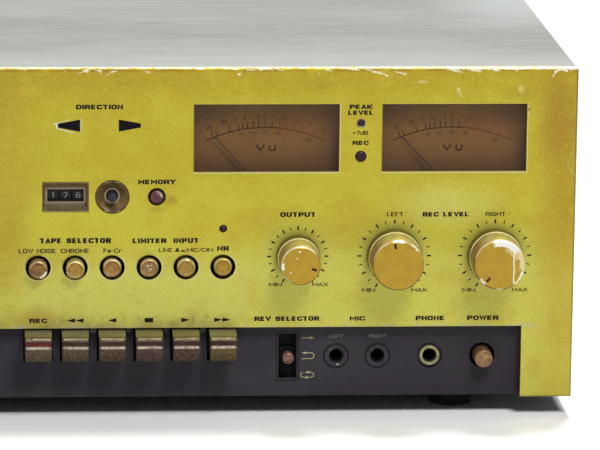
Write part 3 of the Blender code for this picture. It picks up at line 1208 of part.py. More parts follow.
# Piano keys
def key_outline():
    """A key in side view, as (y, z) about its pivot: its ridged front, its body and its arm back to the shaft."""
    arm_low = KEY_ARM_LOW_Z
    arm_high = KEY_ARM_HIGH_Z
    groove_top = KEY_RIDGE_Z - KEY_RIDGE_DROP
    groove_low = groove_top - KEY_GROOVE_HEIGHT
    groove_reach = KEY_RIDGE_REACH + KEY_RIDGE_DROP - KEY_GROOVE_DEPTH
    ridge = [
        (-KEY_RIDGE_REACH - KEY_RIDGE_DROP * out, KEY_RIDGE_Z - KEY_RIDGE_DROP * down)
        for out, down in KEY_RIDGE_SHARES
    ]
    points = [
        (KEY_BODY_BACK_Y, KEY_TOP_Z),
        (0, KEY_TOP_Z),
        *ridge,
        (-groove_reach, groove_top),
        (-groove_reach, groove_low),
        (-KEY_LIP_REACH + KEY_BACK_CHAMFER / 2, groove_low),
        (-KEY_LIP_REACH, groove_low - KEY_BACK_CHAMFER / 2),
        (-KEY_LIP_REACH, groove_low - KEY_LIP_HEIGHT),
        (-KEY_FRONT_REACH, KEY_BOTTOM_Z),
        (-KEY_FRONT_REACH + KEY_BACK_CHAMFER, KEY_BOTTOM_Z - KEY_BACK_CHAMFER / 2),
        (KEY_BODY_BACK_Y, arm_low - KEY_GROOVE_HEIGHT),
        (KEY_BODY_BACK_Y, arm_low),
    ]
    arm_angle = math.asin((KEY_PIVOT_Z - arm_low) / KEY_HUB_RADIUS)
    top_angle = math.asin((arm_high - KEY_PIVOT_Z) / KEY_HUB_RADIUS)
    arc_start = math.pi + arm_angle
    arc_end = 3 * math.pi - top_angle
    steps = SMALL_SIDES
    for step in range(steps + 1):
        angle = arc_start + (arc_end - arc_start) * step / steps
        y = KEY_PIVOT_Y + KEY_HUB_RADIUS * math.cos(angle)
        z = KEY_PIVOT_Z + KEY_HUB_RADIUS * math.sin(angle)
        points.append((y, z))
    points.append((KEY_BODY_BACK_Y, arm_high))
    return [(y - KEY_PIVOT_Y, z - KEY_PIVOT_Z) for y, z in points]


def bore_outline():
    radius = KEY_SHAFT_RADIUS + GAP
    turns = [2 * math.pi * step / SMALL_SIDES for step in range(SMALL_SIDES)]
    return [(radius * math.cos(turn), radius * math.sin(turn)) for turn in turns]


def keys(kit, looks):
    for name, column in KEY_COLUMNS.items():
        place = Matrix.Translation(at(column_x(column), KEY_PIVOT_Y, KEY_PIVOT_Z)) @ SIDE_VIEW
        kit.extruded(name, [key_outline(), bore_outline()], KEY_WIDTH, place, looks["key_metal"])


# Selector, sockets and power button in the lower panel
def selector_lever(kit, looks):
    front = -BAND_RECESS + LEVER_REACH
    shape_front = front - LEVER_LENGTH
    lever = kit.turned(
        "selector_lever",
        [
            (0, front),
            (LEVER_RADIUS - LEVER_CHAMFER, front),
            (LEVER_RADIUS, front - LEVER_CHAMFER),
            (LEVER_RADIUS, shape_front),
            (0, shape_front),
        ],
        at(SELECTOR_X, 0, CONTROL_Z),
        looks["copper"],
        SMALL_SIDES,
    )
    plate = bmesh.new()
    depth = around(SELECTOR_BODY_Y + LEVER_PLATE_THICKNESS, LEVER_PLATE_THICKNESS / 2)
    rise = around(CONTROL_Z, LEVER_PLATE_HEIGHT / 2)
    add_block(plate, around(SELECTOR_X, LEVER_PLATE_WIDTH / 2), depth, rise)
    kit.change(lever, plate, "UNION")


def jack_board(kit, looks):
    front_y = BAND_BACK_Y + GAP
    sides = jack_board_sides()
    shape = bmesh.new()
    board_rise = (JACK_BOARD_Z, JACK_BOARD_Z + BOARD_SHEET)
    add_block(shape, sides, (front_y, front_y + JACK_BOARD_DEPTH), board_rise)
    board = kit.piece("jack_board", shape, looks["board"], at(sides[0], front_y, JACK_BOARD_Z))
    bodies = bmesh.new()
    sunk_z = JACK_BOARD_Z + BOARD_SHEET / 2
    selector_depth = (SELECTOR_BODY_Y, SELECTOR_BODY_Y + SELECTOR_BODY_DEPTH)
    selector_sides = around(SELECTOR_X, SELECTOR_BODY_WIDTH / 2)
    add_block(bodies, selector_sides, selector_depth, (sunk_z, SELECTOR_BODY_TOP_Z))
    power_depth = (POWER_BODY_Y, POWER_BODY_Y + POWER_BODY_DEPTH)
    add_block(bodies, around(POWER_X, POWER_BODY_WIDTH / 2), power_depth, (sunk_z, POWER_BODY_TOP_Z))
    kit.change(board, bodies, "UNION")
    cuts = bmesh.new()
    track_half = LEVER_PLATE_HEIGHT / 2 + LEVER_TRAVEL + GAP
    track_depth = (SELECTOR_BODY_Y - OVERRUN, SELECTOR_BODY_Y + LEVER_PLATE_THICKNESS * 1.5 + GAP)
    track_sides = around(SELECTOR_X, LEVER_PLATE_WIDTH / 2 + GAP)
    add_block(cuts, track_sides, track_depth, around(CONTROL_Z, track_half))
    bore_start = at(POWER_X, POWER_BODY_Y - OVERRUN, CONTROL_Z)
    bore_length = POWER_STEM_END_Y + POWER_TRAVEL + GAP - POWER_BODY_Y + OVERRUN
    add_rod(cuts, "Y", bore_start, bore_length, POWER_STEM_RADIUS + GAP, sides=SMALL_SIDES)
    kit.change(board, cuts, "DIFFERENCE")


def socket(kit, name, x, nut_radius, proud, look, looks):
    """A quarter-inch jack socket: a nut in the panel's hole and a body behind it, with a bore right through."""
    shape = bmesh.new()
    front_y = BAND_BACK_Y + GAP
    half = SOCKET_BODY_SIZE / 2
    low_z = JACK_BOARD_Z + BOARD_SHEET + GAP
    body_depth = (front_y, front_y + SOCKET_BODY_DEPTH)
    add_block(shape, around(x, half), body_depth, (low_z, CONTROL_Z + half))
    body = kit.piece(name, shape, looks[look], at(x, BAND_RECESS, CONTROL_Z))
    nut = bmesh.new()
    nut_start = at(x, BAND_RECESS - proud, CONTROL_Z)
    add_rod(nut, "Y", nut_start, BAND_SHEET + proud + OVERRUN, nut_radius)
    kit.change(body, nut, "UNION")
    bore = bmesh.new()
    mouth_start = at(x, BAND_RECESS - proud - GAP, CONTROL_Z)
    bore_length = body_depth[1] - BAND_RECESS + proud + OVERRUN
    add_rod(bore, "Y", mouth_start, bore_length, SOCKET_BORE_RADIUS, sides=SMALL_SIDES)
    mouth_depth = SOCKET_MOUTH_DEPTH + GAP
    add_rod(bore, "Y", mouth_start, mouth_depth, SOCKET_MOUTH_RADIUS, SOCKET_BORE_RADIUS, SMALL_SIDES)
    kit.change(body, bore, "DIFFERENCE")


def power_button(kit, looks):
    front = -BAND_RECESS + POWER_REACH
    back = front - POWER_LENGTH
    profile = [
        (0, front - BUTTON_RING_DEPTH),
        (BUTTON_RING_RADIUS, front - BUTTON_RING_DEPTH),
        (BUTTON_RING_RADIUS, front),
        (POWER_RADIUS - BUTTON_CHAMFER, front),
        (POWER_RADIUS, front - BUTTON_CHAMFER),
        (POWER_RADIUS, back),
        (POWER_STEM_RADIUS, back),
        (POWER_STEM_RADIUS, -POWER_STEM_END_Y),
        (0, -POWER_STEM_END_Y),
    ]
    kit.turned("power_button", profile, at(POWER_X, 0, CONTROL_Z), looks["copper"])


# Cassette compartment
def cassette_door(kit, looks):
    half_width = DOOR_OPENING_WIDTH / 2 - DOOR_SIDE_GAP
    low_z = DOOR_LOW_Z + DOOR_FOOT_GAP
    high_z = DOOR_HIGH_Z - DOOR_SIDE_GAP
    shape = bmesh.new()
    add_block(shape, around(DOOR_X, half_width), (0, DOOR_THICKNESS), (low_z, high_z))
    pivot = at(DOOR_X, DOOR_PIVOT_Y, PIVOT_DOOR_Z)
    door = kit.piece("cassette_door", shape, looks["gold"], pivot)
    joined = bmesh.new()
    sunk_y = DOOR_THICKNESS / 2
    pocket_half = CASSETTE_WIDTH / 2 + HOLDER_SIDE_ROOM
    holder_depth = (sunk_y, DOOR_THICKNESS + HOLDER_DEPTH)
    rail_top = CASSETTE_LOW_Z + CASSETTE_HEIGHT - HOLDER_TOP_MARGIN
    ledge_rise = (CASSETTE_LOW_Z - HOLDER_LEDGE_THICKNESS, CASSETTE_LOW_Z)
    for side in (-1, 1):
        inner = DOOR_X + side * pocket_half
        rail = sorted((inner, inner + side * HOLDER_WALL))
        add_block(joined, rail, holder_depth, (ledge_rise[0], rail_top))
        ledge = sorted((inner - side * HOLDER_LEDGE, inner + side * HOLDER_WALL / 2))
        add_block(joined, ledge, holder_depth, ledge_rise)
        outer = DOOR_X + side * half_width
        ear = sorted((outer - side * DOOR_EAR_THICKNESS, outer))
        ear_depth = (sunk_y, DOOR_PIVOT_Y + DOOR_EAR_RADIUS)
        add_block(joined, ear, ear_depth, around(PIVOT_DOOR_Z, DOOR_EAR_RADIUS))
        pin_start = min(outer - side * DOOR_EAR_THICKNESS / 2, outer + side * DOOR_PIN_LENGTH)
        pin_length = DOOR_PIN_LENGTH + DOOR_EAR_THICKNESS / 2
        pin_place = at(pin_start, DOOR_PIVOT_Y, PIVOT_DOOR_Z)
        add_rod(joined, "X", pin_place, pin_length, DOOR_PIN_RADIUS, sides=SMALL_SIDES)
    kit.change(door, joined, "UNION")
    cuts = bmesh.new()
    sight_sides, sight_rise = door_sight(0)
    add_block(cuts, sight_sides, (-OVERRUN, DOOR_THICKNESS + GAP), sight_rise)
    rebate_sides, rebate_rise = door_sight(GLASS_REBATE)
    rebate_depth = (DOOR_THICKNESS - GLASS_THICKNESS - GAP, DOOR_THICKNESS + GAP)
    add_block(cuts, rebate_sides, rebate_depth, rebate_rise)
    kit.change(door, cuts, "DIFFERENCE")


def door_sight(spread):
    """The door's window, grown by spread on each side."""
    half = DOOR_OPENING_WIDTH / 2 - DOOR_SIDE_GAP - DOOR_FRAME_SIDE + spread
    low = DOOR_LOW_Z + DOOR_FOOT_GAP + DOOR_FRAME_FOOT - spread
    high = DOOR_HIGH_Z - DOOR_SIDE_GAP - DOOR_FRAME_TOP + spread
    return around(DOOR_X, half), (low, high)


def door_window(kit, looks):
    sides, rise = door_sight(GLASS_REBATE - GAP)
    shape = bmesh.new()
    depth = (DOOR_THICKNESS - GLASS_THICKNESS, DOOR_THICKNESS)
    add_block(shape, sides, depth, rise)
    kit.piece("door_window", shape, looks["clear"], at(DOOR_X, DOOR_PIVOT_Y, PIVOT_DOOR_Z))


def spindle_places():
    return {
        "left": (DOOR_X - HUB_SPACING / 2, HUB_Z),
        "right": (DOOR_X + HUB_SPACING / 2, HUB_Z),
    }


def capstan_places():
    return {
        "left": (DOOR_X - CAPSTAN_SPACING / 2, CAPSTAN_Z),
        "right": (DOOR_X + CAPSTAN_SPACING / 2, CAPSTAN_Z),
    }


def cassette_well(kit, looks):
    shape = bmesh.new()
    outer_rise = (WELL_INNER_LOW_Z - WELL_WALL, WELL_INNER_HIGH_Z + WELL_WALL)
    add_block(shape, around(DOOR_X, WELL_HALF_OUTER), (WELL_FRONT_Y, WELL_BACK_Y), outer_rise)
    well = kit.piece("cassette_well", shape, looks["black_plastic"], at(DOOR_X, WELL_BACK_Y, HUB_Z))
    room = bmesh.new()
    inner_rise = (WELL_INNER_LOW_Z, WELL_INNER_HIGH_Z)
    add_block(room, around(DOOR_X, WELL_HALF_INNER), (WELL_FRONT_Y - OVERRUN, WELL_FLOOR_Y), inner_rise)
    kit.change(well, room, "DIFFERENCE")
    joined = bmesh.new()
    sunk_y = WELL_BACK_Y - WELL_FLOOR / 2
    boss_length = BOSS_BACK_Y - sunk_y
    bores = [(place, SPINDLE_SHAFT_RADIUS) for place in spindle_places().values()]
    bores += [(place, CAPSTAN_RADIUS) for place in capstan_places().values()]
    for (x, z), radius in bores:
        add_rod(joined, "Y", at(x, sunk_y, z), boss_length, radius + GAP + WELL_BOSS_WALL, sides=SMALL_SIDES)
    plate_depth = (MOTOR_PLATE_Y, MOTOR_PLATE_Y + MOTOR_PLATE_SHEET)
    plate_rise = (MOTOR_Z - MOTOR_PLATE_LOW, MOTOR_Z + MOTOR_PLATE_HIGH)
    add_block(joined, around(DOOR_X, MOTOR_PLATE_HALF_WIDTH), plate_depth, plate_rise)
    post_rise = (plate_rise[1] - MOTOR_POST_HEIGHT, plate_rise[1])
    for side in (-1, 1):
        post_x = DOOR_X + side * (MOTOR_PLATE_HALF_WIDTH - MOTOR_POST_WIDTH / 2)
        post_depth = (sunk_y, MOTOR_PLATE_Y + MOTOR_PLATE_SHEET / 2)
        add_block(joined, around(post_x, MOTOR_POST_WIDTH / 2), post_depth, post_rise)
    kit.change(well, joined, "UNION")
    cuts = bmesh.new()
    for (x, z), radius in bores:
        bore_start = at(x, WELL_FLOOR_Y - OVERRUN, z)
        add_rod(cuts, "Y", bore_start, BOSS_BACK_Y - WELL_FLOOR_Y + 2 * OVERRUN, radius + GAP, sides=SMALL_SIDES)
    motor_start = at(DOOR_X, MOTOR_PLATE_Y - OVERRUN / 2, MOTOR_Z)
    add_rod(cuts, "Y", motor_start, MOTOR_PLATE_SHEET + OVERRUN, MOTOR_SHAFT_RADIUS + GAP, sides=SMALL_SIDES)
    pin_sides = around(DOOR_X, WELL_HALF_OUTER + OVERRUN)
    pin_start = at(pin_sides[0], DOOR_PIVOT_Y, PIVOT_DOOR_Z)
    add_rod(cuts, "X", pin_start, pin_sides[1] - pin_sides[0], DOOR_PIN_RADIUS + GAP, sides=SMALL_SIDES)
    kit.change(well, cuts, "DIFFERENCE")


def reel_spindles(kit, looks):
    disc_front = -BOSS_BACK_Y - GAP
    disc_back = disc_front - REEL_DISC_THICKNESS
    shoulder = -WELL_FLOOR_Y + GAP
    front = -SPINDLE_FRONT_Y
    for side, (x, z) in spindle_places().items():
        profile = [
            (0, front),
            (SPINDLE_TIP_RADIUS, front),
            (SPINDLE_SHAFT_RADIUS, front - SPINDLE_TIP_LENGTH),
            (SPINDLE_SHAFT_RADIUS, disc_front),
            (REEL_DISC_RADIUS, disc_front),
            (REEL_DISC_RADIUS, disc_back),
            (0, disc_back),
        ]
        spindle = kit.turned("spindle_" + side, profile, at(x, 0, z), looks["grey_plastic"])
        fins = bmesh.new()
        fin_depth = (SPINDLE_FRONT_Y + SPINDLE_FIN_SETBACK, -shoulder)
        add_block(fins, around(x, SPINDLE_FIN_RADIUS), fin_depth, around(z, SPINDLE_FIN_WIDTH / 2))
        add_block(fins, around(x, SPINDLE_FIN_WIDTH / 2), fin_depth, around(z, SPINDLE_FIN_RADIUS))
        kit.change(spindle, fins, "UNION")


def flywheels(kit, looks):
    for side, (x, z) in capstan_places().items():
        profile = [
            (0, -CAPSTAN_FRONT_Y),
            (CAPSTAN_RADIUS, -CAPSTAN_FRONT_Y),
            (CAPSTAN_RADIUS, -FLYWHEEL_FRONT_Y),
            (FLYWHEEL_RADIUS, -FLYWHEEL_FRONT_Y),
            (FLYWHEEL_RADIUS, -FLYWHEEL_BACK_Y),
            (0, -FLYWHEEL_BACK_Y),
        ]
        kit.turned("flywheel_" + side, profile, at(x, 0, z), looks["steel"], FINE_SIDES)


def head_block(kit, looks):
    base_low = WELL_INNER_LOW_Z + GAP + HEAD_BASE_LOW_RISE
    base_depth = (WELL_FLOOR_Y - GAP - HEAD_BASE_THICKNESS, WELL_FLOOR_Y - GAP)
    shape = bmesh.new()
    base_rise = (base_low, base_low + HEAD_BASE_HEIGHT)
    add_block(shape, around(DOOR_X, HEAD_BASE_HALF_WIDTH), base_depth, base_rise)
    block = kit.piece("head_block", shape, looks["steel"], at(DOOR_X, base_depth[0], base_low))
    joined = bmesh.new()
    sunk_y = WELL_FLOOR_Y - GAP - HEAD_BASE_THICKNESS / 2
    head_rise = (base_low + HEAD_BASE_LOW_RISE, base_low + HEAD_HEIGHT)
    add_block(joined, around(DOOR_X, HEAD_HALF_WIDTH), (HEAD_FRONT_Y, sunk_y), head_rise)
    roller_z = CAPSTAN_Z - CAPSTAN_RADIUS - ROLLER_RADIUS - ROLLER_GAP - HEAD_TRAVEL
    for x, z in capstan_places().values():
        add_rod(joined, "Y", at(x, HEAD_FRONT_Y, roller_z), sunk_y - HEAD_FRONT_Y, ROLLER_RADIUS, sides=SMALL_SIDES)
    kit.change(block, joined, "UNION")


def belt_outline(spread):
    """The belt's path round the pulley and both flywheels, as their shared outline at a distance."""
    circles = [
        (DOOR_X + CAPSTAN_SPACING / 2, CAPSTAN_Z, FLYWHEEL_RADIUS + spread),
        (DOOR_X, MOTOR_Z, PULLEY_RADIUS + spread),
        (DOOR_X - CAPSTAN_SPACING / 2, CAPSTAN_Z, FLYWHEEL_RADIUS + spread),
    ]
    points = []
    for index, (x, z, radius) in enumerate(circles):
        start = tangent_angle(circles[index - 1], circles[index])
        end = tangent_angle(circles[index], circles[(index + 1) % len(circles)])
        turn = (end - start) % (2 * math.pi)
        steps = max(2, round(turn / (2 * math.pi) * FINE_SIDES))
        for step in range(steps + 1):
            angle = start + turn * step / steps
            points.append((x + radius * math.cos(angle), at(0, 0, z).z + radius * math.sin(angle)))
    return points


def tangent_angle(first, second):
    """The direction from both centres to the outer tangent of two circles, passed counter-clockwise."""
    across = second[0] - first[0]
    up = second[1] - first[1]
    distance = math.hypot(across, up)
    heading = math.atan2(up, across)
    return heading - math.acos((first[2] - second[2]) / distance)


def drive_belt(kit, looks):
    loops = [belt_outline(GAP + BELT_THICKNESS), belt_outline(GAP)]
    matrix = Matrix.Translation((0, at(0, BELT_Y, 0).y, 0)) @ FACING_FRONT
    kit.extruded("drive_belt", loops, BELT_WIDTH, matrix, looks["belt"])


def drive_motor(kit, looks):
    pulley_front = BELT_Y - PULLEY_THICKNESS / 2
    pulley_back = BELT_Y + PULLEY_THICKNESS / 2
    motor_back = MOTOR_FRONT_Y + MOTOR_LENGTH
    bore_end = MOTOR_FRONT_Y + MOTOR_BORE_DEPTH
    bore_radius = MOTOR_SHAFT_RADIUS + GAP
    pulley_profile = [
        (0, -pulley_front),
        (PULLEY_RADIUS, -pulley_front),
        (PULLEY_RADIUS, -pulley_back),
        (MOTOR_SHAFT_RADIUS, -pulley_back),
        (MOTOR_SHAFT_RADIUS, GAP - bore_end),
        (0, GAP - bore_end),
    ]
    motor_profile = [
        (0, -bore_end),
        (bore_radius, -bore_end),
        (bore_radius, -MOTOR_FRONT_Y),
        (MOTOR_RADIUS, -MOTOR_FRONT_Y),
        (MOTOR_RADIUS, -motor_back),
        (0, -motor_back),
    ]
    kit.turned("motor_pulley", pulley_profile, at(DOOR_X, 0, MOTOR_Z), looks["brass"])
    kit.turned("drive_motor", motor_profile, at(DOOR_X, 0, MOTOR_Z), looks["steel"])


# Mains transformer and main board
def transformer(kit, looks):
    low_z = BASE_TOP_Z + GAP
    shape = bmesh.new()
    core_depth = around(TRANSFORMER_Y, TRANSFORMER_DEPTH / 2)
    core_sides = around(TRANSFORMER_X, TRANSFORMER_WIDTH / 2)
    add_block(shape, core_sides, core_depth, (low_z, low_z + TRANSFORMER_HEIGHT))
    core = kit.piece("transformer", shape, looks["steel"], at(TRANSFORMER_X, TRANSFORMER_Y, low_z))
    joined = bmesh.new()
    coil_rise = (low_z + COIL_MARGIN, low_z + TRANSFORMER_HEIGHT - COIL_MARGIN)
    add_block(joined, around(TRANSFORMER_X, COIL_WIDTH / 2), around(TRANSFORMER_Y, COIL_DEPTH / 2), coil_rise)
    foot_sides = around(TRANSFORMER_X, TRANSFORMER_WIDTH / 2 + TRANSFORMER_FOOT)
    foot_depth = around(TRANSFORMER_Y, TRANSFORMER_DEPTH / 2 - TRANSFORMER_FOOT_SHEET)
    add_block(joined, foot_sides, foot_depth, (low_z, low_z + TRANSFORMER_FOOT_SHEET))
    kit.change(core, joined, "UNION")


def main_board(kit, looks):
    shape = bmesh.new()
    board_rise = (BOARD_Z, BOARD_Z + BOARD_SHEET)
    add_block(shape, (BOARD_LEFT_X, BOARD_RIGHT_X), (BOARD_FRONT_Y, BOARD_BACK_Y), board_rise)
    board = kit.piece("main_board", shape, looks["board"], at(BOARD_LEFT_X, BOARD_FRONT_Y, BOARD_Z))
    joined = bmesh.new()
    sunk_z = BOARD_Z + BOARD_SHEET / 2
    first_x = BOARD_RIGHT_X - CAPACITOR_PITCH
    capacitor_y = BOARD_BACK_Y - CAPACITOR_PITCH
    for step in range(CAPACITOR_COUNT):
        x = first_x - step * CAPACITOR_PITCH
        add_rod(joined, "Z", at(x, capacitor_y, sunk_z), CAPACITOR_HEIGHT, CAPACITOR_RADIUS, sides=SMALL_SIDES)
    sink_x = BOARD_LEFT_X + HEATSINK_WIDTH
    sink_sides = around(sink_x, HEATSINK_WIDTH / 2)
    add_block(joined, sink_sides, around(capacitor_y, HEATSINK_DEPTH / 2), (sunk_z, sunk_z + HEATSINK_HEIGHT))
    kit.change(board, joined, "UNION")


def build_deck():
    clear_scene()
    kit = Kit()
    looks = make_materials()
    front_panel(kit, looks)
    lower_panel(kit, looks)
    cabinet_cover(kit, looks)
    chassis_base(kit, looks)
    rear_panel(kit, looks)
    feet(kit, looks)
    meter_housing(kit, looks)
    meter_window(kit, looks)
    meter_needle(kit, looks, "left", METER_LEFT_X)
    meter_needle(kit, looks, "right", METER_RIGHT_X)
    lamp_board(kit, looks)
    direction_lamps(kit, looks)
    counter_housing(kit, looks)
    counter_drums(kit, looks)
    small_buttons(kit, looks)
    push_buttons(kit, looks)
    switch_bank(kit, looks)
    knob(kit, "output_knob", OUTPUT_X, OUTPUT_FACE_RADIUS, POINTER_OUTPUT_ANGLE, looks)
    knob(kit, "record_knob_left", RECORD_LEFT_X, RECORD_FACE_RADIUS, POINTER_LEFT_ANGLE, looks)
    knob(kit, "record_knob_right", RECORD_RIGHT_X, RECORD_FACE_RADIUS, POINTER_RIGHT_ANGLE, looks)
    level_controls(kit, looks)
    keys(kit, looks)
    selector_lever(kit, looks)
    jack_board(kit, looks)
    socket(kit, "microphone_socket_left", MIC_LEFT_X, MIC_NUT_RADIUS, MIC_NUT_PROUD, "black_plastic", looks)
    socket(kit, "microphone_socket_right", MIC_RIGHT_X, MIC_NUT_RADIUS, MIC_NUT_PROUD, "black_plastic", looks)
    socket(kit, "headphone_socket", PHONE_X, PHONE_NUT_RADIUS, PHONE_NUT_PROUD, "brass", looks)
    power_button(kit, looks)
    cassette_door(kit, looks)
    door_window(kit, looks)
    cassette_well(kit, looks)
    reel_spindles(kit, looks)
    flywheels(kit, looks)
    head_block(kit, looks)
    drive_belt(kit, looks)
    drive_motor(kit, looks)
    transformer(kit, looks)
    main_board(kit, looks)
    kit.finish()


build_deck()
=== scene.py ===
import json
import math
import random

import bmesh
import bpy
from mathutils import Matrix, Vector

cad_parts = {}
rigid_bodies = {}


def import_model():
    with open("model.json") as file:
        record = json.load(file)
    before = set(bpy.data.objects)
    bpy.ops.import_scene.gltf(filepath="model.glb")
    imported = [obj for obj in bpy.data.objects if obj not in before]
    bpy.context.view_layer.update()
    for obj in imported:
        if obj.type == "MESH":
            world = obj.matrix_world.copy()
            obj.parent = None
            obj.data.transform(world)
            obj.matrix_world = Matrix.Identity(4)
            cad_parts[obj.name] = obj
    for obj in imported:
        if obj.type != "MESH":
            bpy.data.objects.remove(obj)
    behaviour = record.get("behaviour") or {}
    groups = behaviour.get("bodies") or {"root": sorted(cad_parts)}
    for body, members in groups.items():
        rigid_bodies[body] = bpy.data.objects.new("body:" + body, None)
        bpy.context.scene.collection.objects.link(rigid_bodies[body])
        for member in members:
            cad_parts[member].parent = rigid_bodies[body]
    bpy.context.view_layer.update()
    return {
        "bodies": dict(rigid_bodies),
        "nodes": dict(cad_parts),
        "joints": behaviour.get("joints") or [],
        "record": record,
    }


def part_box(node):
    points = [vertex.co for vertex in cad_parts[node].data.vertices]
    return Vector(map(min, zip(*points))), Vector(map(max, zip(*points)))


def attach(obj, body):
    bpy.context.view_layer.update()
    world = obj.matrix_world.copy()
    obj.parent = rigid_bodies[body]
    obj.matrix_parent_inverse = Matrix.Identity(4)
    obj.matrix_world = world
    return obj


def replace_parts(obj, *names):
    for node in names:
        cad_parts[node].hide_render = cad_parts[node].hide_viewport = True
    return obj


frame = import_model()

PANEL_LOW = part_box("front_panel")[0]
MM = 0.001


def at(x, y, z):
    """A point given in millimetres: x from the middle, y behind the gold face, z above the panel's foot."""
    return Vector((x * MM, y * MM + PANEL_LOW.y, z * MM + PANEL_LOW.z))


def box(name):
    """The low and high corner of a carried-over node, in the panel's frame."""
    return ((corner - at(0, 0, 0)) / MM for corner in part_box(name))


# Prints stand this far off their face, and crossing strokes lie in layers this thick
PRINT_PROUD = 0.03
INK_LAYER = 0.004

# Places on the front, in millimetres
PANEL_TOP = 165.0
BAND_Y = 6
REAR_Y = 285.0
BUTTON_XS = [-42.6 + 18.0 * step for step in range(6)]
BUTTON_Z = 66.35
KNOBS = ((84.0, 9.6), (131.25, 12.4), (180.65, 12.4))
KNOB_Z = 71.6
KNOB_FACE_Y = -22.5
FLANGE_FRONT = -6.2
WINDOWS = ((33.0, 103.7), (124.6, 195.3))
WINDOW_LOW = 113.45
WINDOW_HIGH = 147.05
METER_MIDDLES = {"left": 68.35, "right": 159.95}
COUNTER_Z = 101.48
RESET_X = -6.6
MEMORY_X = 15.02
LAMP_X = 114.15
MICROPHONE_XS = (103.8, 124.2)
SOCKET_Z = 20.0
SOCKET_FACE_Y = 5.67

# Camera
YAW = 0.07367943
PITCH = 0.20813664
ROLL = -0.01103412
EYE = (-65.96, -2043.61, 519.96)
FOCAL_PIXELS = 4296.02
PHOTO_WIDTH = 600
SENSOR = 36


def make_camera():
    forward = Vector((math.sin(YAW) * math.cos(PITCH), math.cos(YAW) * math.cos(PITCH), -math.sin(PITCH)))
    right = Vector((math.cos(YAW), -math.sin(YAW), 0))
    down = forward.cross(right)
    across = math.cos(ROLL) * right + math.sin(ROLL) * down
    below = -math.sin(ROLL) * right + math.cos(ROLL) * down
    turn = Matrix((across, -below, -forward)).transposed().to_4x4()
    data = bpy.data.cameras.new("camera")
    data.sensor_width = SENSOR
    data.lens = FOCAL_PIXELS / PHOTO_WIDTH * SENSOR
    camera = bpy.data.objects.new("camera", data)
    bpy.context.scene.collection.objects.link(camera)
    camera.matrix_world = Matrix.Translation(at(*EYE)) @ turn
    bpy.context.scene.camera = camera


# Materials
def tone(colour):
    """The shader's colour for one written in levels from 0 to 255."""
    shares = [value / 255 for value in colour]
    linear = [share / 12.92 if share <= 0.04045 else ((share + 0.055) / 1.055) ** 2.4 for share in shares]
    return (*linear, 1.0)


class Nodes:
    """A node tree, with short ways to fill it."""

    def __init__(self, owner):
        owner.use_nodes = True
        self.tree = owner.node_tree

    def put(self, socket, value):
        """Joins a field or socket to a socket, or sets the socket's value."""
        value = getattr(value, "socket", value)
        if isinstance(value, bpy.types.NodeSocket):
            self.tree.links.new(value, socket)
        else:
            socket.default_value = value

    def add(self, kind, inputs, **settings):
        """Adds a node and returns its outputs."""
        node = self.tree.nodes.new(kind)
        for key, value in settings.items():
            setattr(node, key, value)
        for key, value in inputs.items():
            self.put(node.inputs[key], value)
        return node.outputs


class Field:
    """A number that varies over a surface. Arithmetic with it adds nodes, and | takes the larger of two."""

    def __init__(self, nodes, socket):
        self.nodes = nodes
        self.socket = socket

    def math(self, operation, *others):
        outputs = self.nodes.add("ShaderNodeMath", dict(enumerate((self, *others))), operation=operation)
        return Field(self.nodes, outputs[0])

    def __add__(self, other):
        return self.math("ADD", other)

    def __sub__(self, other):
        return self.math("SUBTRACT", other)

    def __mul__(self, other):
        return self.math("MULTIPLY", other)

    def __or__(self, other):
        return self.math("MAXIMUM", other)

    def __abs__(self):
        return self.math("ABSOLUTE")

    def rise(self, low, high, start=0.0, end=1.0):
        """Goes smoothly from start to end as the value goes from low to high."""
        if low > high:
            low, high, start, end = high, low, end, start
        inputs = {0: self, 1: low, 2: high, 3: start, 4: end}
        outputs = self.nodes.add("ShaderNodeMapRange", inputs, interpolation_type="SMOOTHSTEP")
        return Field(self.nodes, outputs[0])

    def band(self, low, high, soft):
        """1 where the value is between low and high."""
        return self.rise(low - soft, low + soft) * self.rise(high + soft, high - soft)

    def sector(self, start, end, soft=8.0):
        """1 where an angle is between start and end, all in degrees."""
        half = (end - start) / 2
        outer = math.cos(math.radians(min(half + soft, 180)))
        inner = math.cos(math.radians(max(half - soft, 0)))
        return (self - (start + end) / 2).math("RADIANS").math("COSINE").rise(outer, inner)

    def blend(self, first, second):
        """The first colour where the value is 0, going to the second where it is 1."""
        first, second = (tone(shade) if isinstance(shade, tuple) else shade for shade in (first, second))
        return self.nodes.add("ShaderNodeMix", {0: self, 6: first, 7: second}, data_type="RGBA")[2]


def largest(fields):
    first, *others = fields
    for field in others:
        first = first | field
    return first


looks = {}


